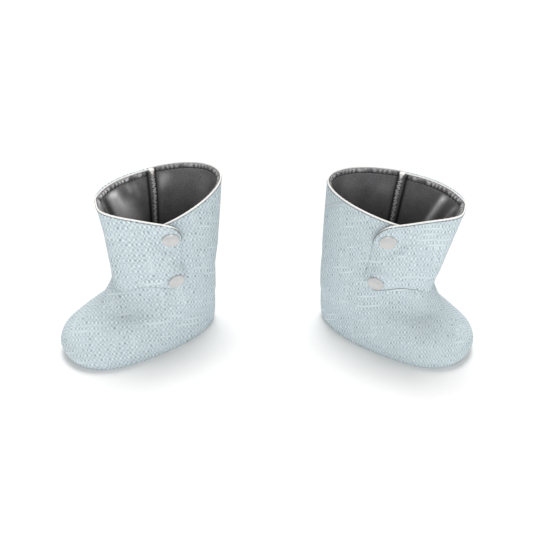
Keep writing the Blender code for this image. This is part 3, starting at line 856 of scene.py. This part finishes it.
def sole_outline(stance, depth):
    """The sole's edge, a depth inside the upper's."""
    fractions = np.linspace(0, 1, COARSE_COLUMNS * FINE_CLOTH.columns, endpoint=False)
    points = np.array([foot_points(stance, ring, fractions) for ring in FOOT_RINGS[:2]])
    normals = normals_of(points, closed=True)[0]
    normals[:, 2] = 0
    return points[0] - unit(normals) * depth


def flap_surface(cover, fractions, heights):
    """Points and normals on the flap's finished outer face, creases and all, along a line."""
    points, normals = flap_face(cover.stance, fractions, heights)
    line = Form(points[None], normals[None], fractions[None], heights[None], None, None)
    moved = creases(line, CLOTH_CREASES[cover.side]) + snap_pull(cover, line, outer=True)
    return points + normals * moved[0][:, None], normals


def snap_cap(cover, snap):
    """A moulded snap cap: a rounded rim round a shallow dish whose two halves meet in a faint crease."""
    seat = snap_seat(cover, snap)
    base = Vector(seat.middle + seat.straight * (SNAP_RAISE - SNAP_SUNK) * MM)
    outward = Vector(seat.facing)
    sideways = Vector((0, 0, 1)).cross(outward).normalized()
    mesh = bmesh.new()
    radius, thickness = SNAP_RADIUS * MM, SNAP_THICKNESS * MM
    verts = [mesh.verts.new((radius * r, 0, thickness * z)) for r, z in SNAP_SECTION]
    edges = [mesh.edges.new(pair) for pair in zip(verts, verts[1:])]
    full = {"cent": (0, 0, 0), "axis": (0, 0, 1), "angle": 2 * math.pi, "steps": SNAP_SIDES}
    bmesh.ops.spin(mesh, geom=verts + edges, use_merge=True, **full)
    bmesh.ops.remove_doubles(mesh, verts=mesh.verts, dist=1e-7)
    tilt = SNAP_CREASE_TURN * cover.stance.mirror
    along_crease = Vector((math.cos(tilt), math.sin(tilt)))
    from_crease = along_crease.orthogonal()
    for vert in mesh.verts:
        if vert.co.z > thickness / 2 and vert.co.xy.length < radius * SNAP_FACE:
            edge = math.sqrt((radius * SNAP_FACE) ** 2 - vert.co.xy.dot(along_crease) ** 2)
            vert.co.z -= SNAP_CREASE_SLOPE * max(edge - abs(vert.co.xy.dot(from_crease)), 0)
    turn = Matrix((sideways, outward.cross(sideways), outward)).transposed().to_4x4()
    bmesh.ops.transform(mesh, matrix=Matrix.Translation(base) @ turn, verts=mesh.verts)
    return mesh


def stitch(mesh, start, end, normal, radius):
    """One stitch: a slim bead of thread from start to end."""
    along = Vector(end - start)
    across = along.cross(Vector(normal)).normalized()
    upward = across.cross(along).normalized()
    axes = Matrix((across * radius, upward * radius, along / 2)).transposed().to_4x4()
    middle = Matrix.Translation((start + end) / 2)
    bmesh.ops.create_uvsphere(mesh, u_segments=8, v_segments=6, radius=1, matrix=middle @ axes)


def inside(cover, points, normals, depth):
    """A line at a depth inside a face, and the direction further in, in the pair's frame."""
    line = placed(cover, points - normals * depth)
    return line, placed(cover, points - normals * (depth + 1)) - line


def hem_stitches(cover, points, normals):
    """Stitches along the hem, on the lining's inner side."""
    mesh = bmesh.new()
    run = walked(np.linalg.norm(np.diff(points, axis=0), axis=-1))
    line, away = inside(cover, points, normals, INSIDE_DEPTH + LINING_EASE - HEM_GROOVE + HEM_THREAD_STANDS)

    def along(grid, place):
        return np.array([np.interp(place, run, grid[:, axis]) for axis in range(3)])

    for start in np.arange(HEM_STITCHES_START, run[-1] - HEM_STITCH, HEM_STITCH_PITCH):
        end = start + HEM_STITCH
        stitch(mesh, along(line, start), along(line, end), along(away, (start + end) / 2), HEM_THREAD * MM)
    return mesh


def body_hem_stitches(cover):
    """The stitches of the lining body's hem."""
    from_seam = SIDE_SEAM - 1 + (ALLOWANCE_WIDTH / 2 + HEM_BESIDE_SEAM) / CUFF_GIRTH
    fractions = np.linspace(from_seam, cover.stance.v_place, BODY_HEM_POINTS)
    heights = upper_rim(cover.stance, fractions % 1) - lining_drop(fractions, False) - HEM_DEPTH
    return hem_stitches(cover, *shaft_face(cover.stance, fractions, heights))


def flap_hem_stitches(cover):
    """The stitches of the hem on the flap's lining."""
    to_seam = SIDE_SEAM - (ALLOWANCE_WIDTH / 2 + HEM_BESIDE_SEAM) / CUFF_GIRTH
    fractions = np.linspace(cover.stance.v_place, to_seam, FLAP_HEM_POINTS)
    heights = rim_height(cover.stance, fractions) - lining_drop(fractions, True) - HEM_DEPTH
    return hem_stitches(cover, *flap_face(cover.stance, fractions, heights))


def overlock(cover):
    """The zigzag of light thread that binds the side seam's allowance."""
    mesh = bmesh.new()
    top = seam_top(cover.stance) - ALLOWANCE_TOP - 1
    heights = np.arange(INSTEP_HEIGHT + ALLOWANCE_BOTTOM + 1, top, OVERLOCK_PITCH / 2)
    turn = np.arange(len(heights))
    reach = OVERLOCK_HALF_WIDTH + OVERLOCK_WANDER * np.sin(turn * 2.3) * np.sin(turn * 0.7 + 1)
    heights = heights + OVERLOCK_WANDER * np.sin(turn * 1.7) * np.cos(turn * 0.45)
    fractions = SIDE_SEAM + (OVERLOCK_BESIDE + np.where(turn % 2, reach, -reach)) / CUFF_GIRTH
    face = shaft_face(cover.stance, fractions, heights)
    line, away = inside(cover, *face, ALLOWANCE_DEPTH + LINING + OVERLOCK_THREAD / 3)
    for start, end, normal in zip(line, line[1:], away):
        stitch(mesh, start, end, normal, OVERLOCK_THREAD * MM)
    return mesh


def cord(cover, line, depth, stands, half_width, half_height, swell):
    """A slim round edging or thread along a line, a depth inside the face and out past the cloth's edge."""
    points, normals, outward = line
    points = points - normals * depth + outward * stands
    turns = np.linspace(0, 2 * math.pi, EDGING_SIDES + 1)
    across = np.cos(turns)[:, None] * normals[:, None] * half_width
    upward = np.sin(turns)[:, None] * outward[:, None] * half_height
    mesh = bmesh.new()
    laid_grid(mesh, placed(cover, points[:, None] + (across + upward) * swell[:, None, None]))
    bmesh.ops.remove_doubles(mesh, verts=mesh.verts, dist=1e-6)
    return mesh


def tapered(count, start=4, end=4):
    """Full thickness along a line of points, rounded off to nothing at its ends."""
    place = np.arange(count)
    rising = np.clip(place / start, 0, 1)
    falling = np.clip((count - 1 - place) / end, 0, 1)
    return np.sqrt(1 - (1 - rising) ** 2) * np.sqrt(1 - (1 - falling) ** 2) + 1e-4


def edge_line(points, normals):
    """A line on the cloth's edge: its points, its normals and the direction out of the edge."""
    outward = unit(np.cross(unit(np.gradient(points, axis=0)), normals))
    return points, normals, -outward if outward[len(outward) // 4, 2] < 0 else outward


def edging_end(cover):
    """The edging's end, turned in over the top of the side seam's allowance."""
    below = np.linspace(-EDGING_END_ABOVE, EDGING_END_LENGTH, EDGING_END_POINTS)
    fractions = np.full(len(below), SIDE_SEAM - EDGING_END_BESIDE / CUFF_GIRTH)
    heights = seam_top(cover.stance) - below
    points, normals = shaft_face(cover.stance, fractions, heights)
    forward = unit(shaft_points(cover.stance, fractions + 1 / CUFF_GIRTH, heights) - points)
    depth = np.interp(below, (-EDGING_END_ABOVE, 0.9, EDGING_END_LENGTH), EDGING_END_DEPTHS)[:, None]
    swell = np.interp(below, (-EDGING_END_ABOVE, 0, EDGING_END_LENGTH), (0.3, 1.0, 0.15))
    swell[0] = swell[-1] = 1e-4
    line = points, normals, forward
    return cord(cover, line, depth, 0, EDGING_END_HALF_DEPTH, EDGING_END_WIDTH, swell)


def rim_line(cover):
    """The upper's rim, from the side seam round the back and on to the underlap's end."""
    stance = cover.stance
    underlap = np.interp(UNDERLAP_COLUMN, (V_COLUMN, FRONT_COLUMN), (stance.v_place, 0.5))
    start = SIDE_SEAM - 1 + EDGING_BESIDE_SEAM / CUFF_GIRTH
    fractions = np.linspace(start, underlap - EDGING_BEFORE_UNDERLAP / CUFF_GIRTH, BODY_RIM_POINTS)
    return edge_line(*shaft_face(stance, fractions, upper_rim(stance, fractions % 1)))


def rim_edging(cover):
    """The white edging on the upper's rim."""
    line = rim_line(cover)
    size = EDGING_HALF_WIDTH, EDGING_HALF_HEIGHT, tapered(len(line[0]))
    return cord(cover, line, EDGING_DEPTH, EDGING_STANDS, *size)


def rim_shadow_thread(cover):
    """A dark grey thread in the ditch below the edging, where the edging's shadow line falls: a painted
    shadow line.
    """
    line = rim_line(cover)
    size = DITCH_SHADOW_LINE, DITCH_SHADOW_LINE, tapered(len(line[0]))
    return cord(cover, line, -DITCH_STANDS, -DITCH_BELOW, *size)


def flap_line(cover):
    """The flap's rim from the side seam to the V, and on round its top corner, and its edging's roll."""
    stance = cover.stance
    corner = flap_edge(stance, FINE_CLOTH._replace(top_turns=CORNER_POINTS))[-CORNER_POINTS:][::-1]
    start = SIDE_SEAM - EDGING_BESIDE_SEAM / CUFF_GIRTH
    along_rim = np.linspace(start, stance.v_place, RIM_POINTS)[:-1]
    fractions = np.concatenate([along_rim, corner[:, 0]])
    heights = np.concatenate([rim_height(stance, along_rim), corner[:, 1]])
    return *edge_line(*flap_surface(cover, fractions, heights)), rolled(fractions)[:, None]


def flap_edging(cover):
    """The white edging on the flap's rim. It rolls inwards past the front and thins out on the top corner."""
    count = RIM_POINTS + int(CORNER_POINTS * EDGING_END)
    *line, roll = (part[:count] for part in flap_line(cover))
    swell = tapered(count, end=12) * np.interp(np.arange(count), (0, RIM_POINTS, count - 1), (1, 1, 0.3))
    depth, stands = EDGING_DEPTH + ROLL_DEPTH * roll, EDGING_STANDS - ROLL_DROP * roll
    return cord(cover, line, depth, stands, EDGING_HALF_WIDTH, EDGING_HALF_HEIGHT, swell)


def flap_shadow_thread(cover):
    """A dark grey thread below the flap's edging, which comes out to the edge on the top corner: a painted
    shadow line under the edging and under the corner's lifted edge.
    """
    *line, _ = flap_line(cover)
    count = len(line[0])
    turned = np.clip((np.arange(count) - RIM_POINTS) / TURN_POINTS, 0, 1)
    below = DITCH_BELOW * (1 - turned) + CORNER_BELOW * turned
    thickness = DITCH_SHADOW_LINE * (1 - turned) + CORNER_SHADOW_LINE * turned
    return cord(cover, line, -DITCH_STANDS, -below[:, None], 1, 1, tapered(count, end=8) * thickness)


def instep_shadow_thread(cover):
    """A dark grey thread along the flap's lower edge, strongest by the lower snap: a painted shadow line
    under the flap's edge.
    """
    from_v = np.linspace(INSTEP_SHADOW_LINE_START, INSTEP_SHADOW_LINE_END, INSTEP_POINTS)
    fractions = cover.stance.v_place + from_v / CUFF_GIRTH
    line = edge_line(*flap_surface(cover, fractions, hem_height(cover.stance, fractions)))
    radius = INSTEP_SHADOW_LINE[cover.side]
    return cord(cover, line, -radius / 3, 0, 1, 1, tapered(INSTEP_POINTS, start=6, end=60) * radius)


def linear(code):
    """A linear colour from its sRGB hex code."""
    channels = [int(code[place : place + 2], 16) / 255 for place in (1, 3, 5)]
    return tuple(c / 12.92 if c <= 0.04045 else ((c + 0.055) / 1.055) ** 2.4 for c in channels) + (1.0,)


def add_node(tree, kind, inputs=(), output=None, to=None, **settings):
    """Adds a node and gives back one of its outputs, linked to the shader's socket named by to.

    inputs holds values or other nodes' outputs, in the sockets' order or by their names.
    """
    made = tree.nodes.new("ShaderNode" + kind)
    for name, value in settings.items():
        setattr(made, name, value)
    shown = {socket.name: socket for socket in reversed(made.inputs) if socket.enabled}
    for name, value in inputs.items() if isinstance(inputs, dict) else enumerate(inputs):
        socket = made.inputs[name] if isinstance(name, int) else shown[name]
        if isinstance(value, bpy.types.NodeSocket):
            tree.links.new(value, socket)
        else:
            socket.default_value = value
    result = made.outputs[output] if output else next(socket for socket in made.outputs if socket.enabled)
    if to:
        tree.links.new(result, tree.nodes["Principled BSDF"].inputs[to])
    return result


def new_material(name, **sockets):
    """A material, and what adds nodes to it. An underscore in a socket's name stands for a space."""
    material = bpy.data.materials.new(name)
    material.use_nodes = True
    tree = material.node_tree
    for socket, value in sockets.items():
        tree.nodes["Principled BSDF"].inputs[socket.replace("_", " ")].default_value = value
    return material, partial(add_node, tree)


def linen_cloth():
    """Plain-woven linen look, washed: matt, with open gaps between the yarns and slubs that run along. The
    yarns' crowns between the gaps get painted highlights.
    """
    # The map counts gaps. Every few yarns draw together, so its columns are 3.0 mm apart on the left cover
    # and 2.2 on the right, and its rows 3.7 and 3.5
    material, add = new_material("washed_linen_look", Roughness=0.9, IOR=1.45)
    faint_spots, crown_highlight, wefts, thick_yarns, darkest = 0.6, 0.72, 0.25, 0.5, 0.85
    row_sharpness, column_sharpness = 1.6, 1.8
    flat = add("UVMap", uv_map="cloth")
    places = [flat]
    for scale, detail, reach in ((0.16, 3.0, (1.5, 0.9, 0)), (1.1, 1.0, (0.9, 0.6, 0))):
        drift = add("TexNoise", {"Vector": flat, "Scale": scale, "Detail": detail}, "Color")
        drift = add("VectorMath", (drift, (0.5, 0.5, 0.5)), operation="SUBTRACT")
        drift = add("VectorMath", (drift, reach), operation="MULTIPLY")
        places.append(add("VectorMath", (places[-1], drift), operation="ADD"))
    steady_column, steady_row, column, row = (
        add("SeparateXYZ", (place,), axis) for place in places[1:] for axis in "XY"
    )

    def yarn_lines(place, shift, sharpness):
        """Lines along a family of yarns, 1 on their middles and 0 halfway between them."""
        turned = add("Math", (place, 2 * math.pi, shift * 2 * math.pi), operation="MULTIPLY_ADD")
        wave = add("Math", (turned,), operation="COSINE")
        line = add("Math", (wave, 0.5, 0.5), operation="MULTIPLY_ADD")
        return add("Math", (line, sharpness), operation="POWER")

    def slubs(line, along, yarn, reach, seed, threshold):
        """Thicker yarns that show for a stretch, on some of the lines."""
        counted = add("Math", (yarn,), operation="ROUND")
        stretch = add("Math", (along, reach), operation="DIVIDE")
        place = add("CombineXYZ", (stretch, counted, seed))
        chance = add("TexNoise", {"Vector": place, "Scale": 1.0, "Detail": 0.0})
        shown = add("MapRange", {"Value": chance, "From Min": threshold, "From Max": threshold + 0.08})
        return add("Math", (line, shown), operation="MULTIPLY")

    cell = add("CombineXYZ", [add("Math", (place,), operation="ROUND") for place in (column, row)])
    chance = add("TexWhiteNoise", (cell,))
    openness = add("Math", (chance, 0.8, 0.4), operation="MULTIPLY_ADD")
    on_row, off_row = (yarn_lines(row, shift, row_sharpness) for shift in (0, 0.5))
    on_column, off_column = (yarn_lines(column, shift, column_sharpness) for shift in (0, 0.5))

    def in_turns(first, second):
        """Spots on the rows, and fainter ones half-way between them."""
        strong = add("Math", (first, on_row), operation="MULTIPLY")
        faint = add("Math", (second, off_row), operation="MULTIPLY")
        both = add("Math", (faint, faint_spots, strong), operation="MULTIPLY_ADD")
        return add("Math", (both, openness), operation="MULTIPLY")

    # The spots between the gaps, where the yarns cross over, are painted paler: painted highlights on the
    # yarns' crowns. The slubs joined to them below are paler yarn of their own
    gap, crown_highlight_and_slub = in_turns(on_column, off_column), in_turns(off_column, on_column)
    crown_highlight_and_slub = add("Math", (crown_highlight_and_slub, crown_highlight), operation="MULTIPLY")
    half_row, steady_half_row = (add("Math", (place, 0.5), operation="ADD") for place in (row, steady_row))
    weft = slubs(yarn_lines(row, 0.5, 4.0), column, half_row, 3.0, 3.7, 0.38)
    weft = add("Math", (weft, wefts), operation="MULTIPLY")
    row_slub = slubs(yarn_lines(steady_row, 0.5, 10.0), steady_column, steady_half_row, 9.0, 11.3, 0.63)
    column_slub = slubs(yarn_lines(steady_column, 0, 8.0), steady_row, steady_column, 8.0, 8.1, 0.64)
    slub = add("Math", (row_slub, column_slub), operation="MAXIMUM")
    slub = add("Math", (slub, thick_yarns), operation="MULTIPLY")
    crown_highlight_and_slub = add("Math", (crown_highlight_and_slub, slub), operation="MAXIMUM")
    dark = add("Math", (gap, weft), operation="MAXIMUM")
    dark = add("Math", (dark, slub), operation="SUBTRACT", use_clamp=True)
    shaded = add("Math", (dark, darkest), operation="MULTIPLY")

    tone = add("TexNoise", {"Vector": flat, "Scale": 0.12, "Detail": 3.0})
    fibre = add("TexNoise", {"Vector": flat, "Scale": 3.4, "Detail": 3.0, "Roughness": 0.6})
    speck = add("MapRange", {"Value": fibre, "From Min": 0.36, "From Max": 0.64})
    colour = add("Mix", {"Factor": tone, "A": linear("#C9D7DD"), "B": linear("#D4E1E6")}, data_type="RGBA")
    colour = add("Mix", {"Factor": speck, "A": linear("#BCCCD2"), "B": colour}, data_type="RGBA")
    colour = add("Mix", {"Factor": crown_highlight_and_slub, "A": colour, "B": linear("#EEF7FA")}, data_type="RGBA")
    add("Mix", {"Factor": shaded, "A": colour, "B": linear("#7F949E")}, data_type="RGBA", to="Base Color")
    raised = add("Math", (crown_highlight_and_slub, dark), operation="SUBTRACT")
    raised = add("Math", (fibre, 0.4, raised), operation="MULTIPLY_ADD")
    add("Bump", {"Strength": 0.45, "Distance": 0.0003, "Height": raised}, to="Normal")
    return material


def satin_lining():
    """Polyester satin: dark grey, with a soft sheen. Its folds and puckered hem get painted highlights in
    pale grey, and its pits, grooves and seam get painted shade in near black.
    """
    finish = {"Roughness": 0.48, "IOR": 1.45, "Sheen_Weight": 0.2, "Sheen_Roughness": 0.4}
    material, add = new_material("polyester_satin", **finish)
    flat = add("UVMap", uv_map="cloth")
    cloud_share, warp_share, grain_share = 0.7, 0.4, 2.2
    cloud = add("TexNoise", {"Vector": flat, "Scale": 0.12, "Detail": 4.0, "Roughness": 0.6})
    # The warp's threads are drawn 0.4 mm wide, some five times their real size, so that they show
    along = add("Mapping", {"Vector": flat, "Scale": (2.4, 0.35, 1.0)})
    warp = add("TexNoise", {"Vector": along, "Scale": 1.0, "Detail": 3.0})
    grain = add("TexNoise", {"Vector": flat, "Scale": 1.2, "Detail": 3.0, "Roughness": 0.7})
    grain = add("Math", (grain, 0.5), operation="SUBTRACT")
    tone = add("Math", (cloud, cloud_share), operation="MULTIPLY")
    for part, share in ((warp, warp_share), (grain, grain_share)):
        tone = add("Math", (part, share, tone), operation="MULTIPLY_ADD")
    # The painted light on the cloth: pale painted highlights, streaked along the warp, and near-black painted
    # shade
    painted_light = add("Attribute", output="Fac", attribute_name="painted_light")
    ragged = add("Math", (warp, 1.2, 0.4), operation="MULTIPLY_ADD")
    painted_highlight = add("Math", (painted_light, ragged), operation="MULTIPLY", use_clamp=True)
    painted_shade = add("Math", (painted_light, -1.0), operation="MULTIPLY", use_clamp=True)
    colour = add("Mix", {"Factor": tone, "A": linear("#4E4E50"), "B": linear("#868688")}, data_type="RGBA")
    colour = add("Mix", {"Factor": painted_highlight, "A": colour, "B": linear("#F4F4F6")}, data_type="RGBA")
    add("Mix", {"Factor": painted_shade, "A": colour, "B": linear("#1A1A1B")}, data_type="RGBA", to="Base Color")
    add("Bump", {"Strength": 0.25, "Distance": 0.0002, "Height": warp}, to="Normal")
    return material


def speckled(name, marks_scale, detail, codes, relief, **sockets):
    """A material whose colour and relief follow one fine noise. Also gives the noise and what adds nodes."""
    material, add = new_material(name, **sockets)
    place = add("TexCoord", output="Object")
    marks = add("TexNoise", {"Vector": place, "Scale": marks_scale, "Detail": detail})
    dark, light = (linear(code) for code in codes)
    add("Mix", {"Factor": marks, "A": dark, "B": light}, data_type="RGBA", to="Base Color")
    if relief:
        add("Bump", {"Strength": relief, "Distance": 0.0002, "Height": marks}, to="Normal")
    return material, marks, add


def snap_plastic():
    """Moulded acetal: pale grey, with a smooth polished skin and faint handling marks."""
    skin = {"IOR": 1.55, "Coat_Weight": 1.0, "Coat_IOR": 1.65, "Coat_Roughness": 0.1}
    material, marks, add = speckled("moulded_acetal", 2600.0, 2.0, ("#BEBEBE", "#C4C4C4"), 0.02, **skin)
    add("MapRange", {"Value": marks, "To Min": 0.22, "To Max": 0.34}, to="Roughness")
    return material


def cotton(name, dark_code, light_code, roughness):
    """Spun cotton, as thread or as a narrow bound edge: matt, with a short uneven fibre."""
    finish = {"Roughness": roughness, "Sheen_Weight": 0.2}
    return speckled(name, 1500.0, 3.0, (dark_code, light_code), 0.3, **finish)[0]


def studio_paper():
    """Seamless studio paper: white and matt, with a faint grain."""
    finish = {"Roughness": 0.95, "Specular_IOR_Level": 0.1}
    return speckled("studio_paper", 300.0, 2.0, ("#F8F8F8", "#FBFBFB"), 0, **finish)[0]


def finished(mesh, name, material, rounding=0.0):
    """Turns a bmesh into a piece that rides on the pair. rounding softens the cloth's cut edges."""
    bmesh.ops.recalc_face_normals(mesh, faces=mesh.faces)
    piece = in_scene(mesh, name, material)
    piece.data.shade_smooth()
    if rounding:
        edge = piece.modifiers.new("rounded_edges", "BEVEL")
        edge.width = rounding * MM
        edge.segments = 2
        edge.limit_method = "ANGLE"
        edge.angle_limit = math.radians(60)
    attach(piece, "root")
    return piece


def in_scene(mesh, name, material):
    """An object of the scene from a bmesh."""
    data = bpy.data.meshes.new(name)
    mesh.to_mesh(data)
    mesh.free()
    data.materials.append(material)
    thing = bpy.data.objects.new(name, data)
    bpy.context.scene.collection.objects.link(thing)
    return thing


Cover = namedtuple("Cover", "side stance x y")


def standing_cover(side, stance):
    """The cover, placed so that its sole lies on the sole of the frame."""
    here = Cover(side, stance, 0, 0)
    world = placed(here, sole_outline(stance, LINING_DEPTH)) / MM
    middle = np.array(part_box(f"{side}_sole")).sum(axis=0) / 2 / MM
    away = middle - (world.min(axis=0) + world.max(axis=0)) / 2
    return here._replace(x=away[0], y=away[1])


def build_cover(cover, linen, satin, plastic, white_edge, shadow_line_thread, light_thread, dark_thread):
    """All the pieces of one cover, by name."""
    stance, side = cover.stance, cover.side
    weave = WEAVE[side]
    upper, flap = upper_form(stance, FINE_CLOTH), flap_form(stance, FINE_CLOTH)
    body, behind_flap = upper_form(stance, FINE_LINING), flap_form(stance, FINE_LINING)
    allowance = allowance_form(stance)
    upper_relief = creases(upper, CLOTH_CREASES[side]) * (upper.heights > CREASES_START)
    upper_relief += snap_pull(cover, upper, outer=False)
    flap_relief = creases(flap, CLOTH_CREASES[side]) + snap_pull(cover, flap, outer=True)
    body_relief, flap_lining_relief = lining_relief(cover, body), lining_relief(cover, behind_flap)
    made = {
        "upper": cloth_wall(cover, upper, 0, CLOTH, weave, upper_relief),
        "front_flap": cloth_wall(cover, flap, 0, CLOTH, weave, flap_relief),
        "sole": sole_piece(cover, LINING_DEPTH, 0, SOLE_THICKNESS, weave),
        "lining_body": cloth_wall(cover, body, LINING_DEPTH, LINING, PLAIN, *body_relief, base=SOLE_TOP),
        "lining_flap": cloth_wall(cover, behind_flap, LINING_DEPTH, LINING, PLAIN, *flap_lining_relief),
        "sole_lining": sole_piece(cover, INSIDE_DEPTH + SEAM_GAP, SOLE_TOP, LINING, PLAIN),
        "seam_allowance": cloth_wall(
            cover, allowance, ALLOWANCE_DEPTH, LINING, PLAIN, painted_light=allowance_shade(allowance)
        ),
    }
    pieces = {}
    for name, mesh in made.items():
        material = linen if name in ("upper", "front_flap", "sole") else satin
        rounding = 0 if name in ("lining_body", "lining_flap") else CLOTH_ROUNDING
        pieces[name] = finished(mesh, f"{side}_{name}_cloth", material, rounding)
    for name, snap in SNAPS[side].items():
        pieces[name] = finished(snap_cap(cover, snap), f"{side}_{name}_moulded", plastic)
    for name, piece in pieces.items():
        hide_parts(f"{side}_{name}")
    for material, makers in (
        (white_edge, (rim_edging, flap_edging, edging_end)),
        # The grey threads are painted shadow lines
        (shadow_line_thread, (rim_shadow_thread, flap_shadow_thread, instep_shadow_thread)),
        (light_thread, (overlock,)),
        (dark_thread, (body_hem_stitches, flap_hem_stitches)),
    ):
        for maker in makers:
            name = maker.__name__
            pieces[name] = finished(maker(cover), f"{side}_{name}", material)
    return pieces


def make_floor():
    """A wide floor of studio paper."""
    mesh = bmesh.new()
    bmesh.ops.create_grid(mesh, x_segments=1, y_segments=1, size=FLOOR_REACH)
    in_scene(mesh, "floor", studio_paper())


def add_light(name, comes_from, softness, strength):
    """A far, soft lamp. softness is how wide it looks from the floor, in degrees."""
    lamp = bpy.data.lights.new(name, "SUN")
    lamp.angle = math.radians(softness)
    lamp.energy = strength
    light = bpy.data.objects.new(name, lamp)
    light.location = comes_from
    light.rotation_euler = (-Vector(comes_from)).to_track_quat("-Z", "Y").to_euler()
    bpy.context.scene.collection.objects.link(light)


def make_studio():
    """An even white surround, a lamp above and a little behind, and wide ones in front and on the right."""
    world = bpy.data.worlds.new("studio")
    bpy.context.scene.world = world
    world.use_nodes = True
    background = world.node_tree.nodes["Background"]
    background.inputs["Color"].default_value = SURROUND_COLOUR
    background.inputs["Strength"].default_value = SURROUND_STRENGTH
    for lamp in LAMPS:
        add_light(*lamp)
    bpy.context.scene.view_settings.view_transform = "Standard"


def make_camera():
    """The camera, level with nothing tilted, looking down on the pair from the toes' side."""
    camera = bpy.data.objects.new("camera", bpy.data.cameras.new("camera"))
    look = math.radians(VIEWER_ELEVATION)
    back = Vector((0, -math.cos(look), math.sin(look)))
    camera.location = Vector(AIM) * MM + back * CAMERA_DISTANCE * MM
    camera.rotation_euler = (-back).to_track_quat("-Z", "Y").to_euler()
    camera.data.sensor_width = SENSOR
    camera.data.lens = SENSOR * PIXELS_PER_MM * CAMERA_DISTANCE / IMAGE_SIDE
    camera.data.clip_end = CAMERA_REACH
    bpy.context.scene.collection.objects.link(camera)
    bpy.context.scene.camera = camera


make_camera()
make_floor()
make_studio()
finishes = (
    linen_cloth(),
    satin_lining(),
    snap_plastic(),
    cotton("white_edging", "#EFEDEA", "#FBFAF8", 0.8),
    # A grey for the threads that stand for shadow lines: painted shadow
    cotton("shadow_line_thread", "#5E605F", "#7A7B79", 0.8),
    cotton("light_thread", "#989898", "#F0F0F0", 0.6),
    cotton("dark_thread", "#0C0C0D", "#1C1C1E", 0.7),
)
for side, stance in STANCES.items():
    build_cover(standing_cover(side, stance), *finishes)
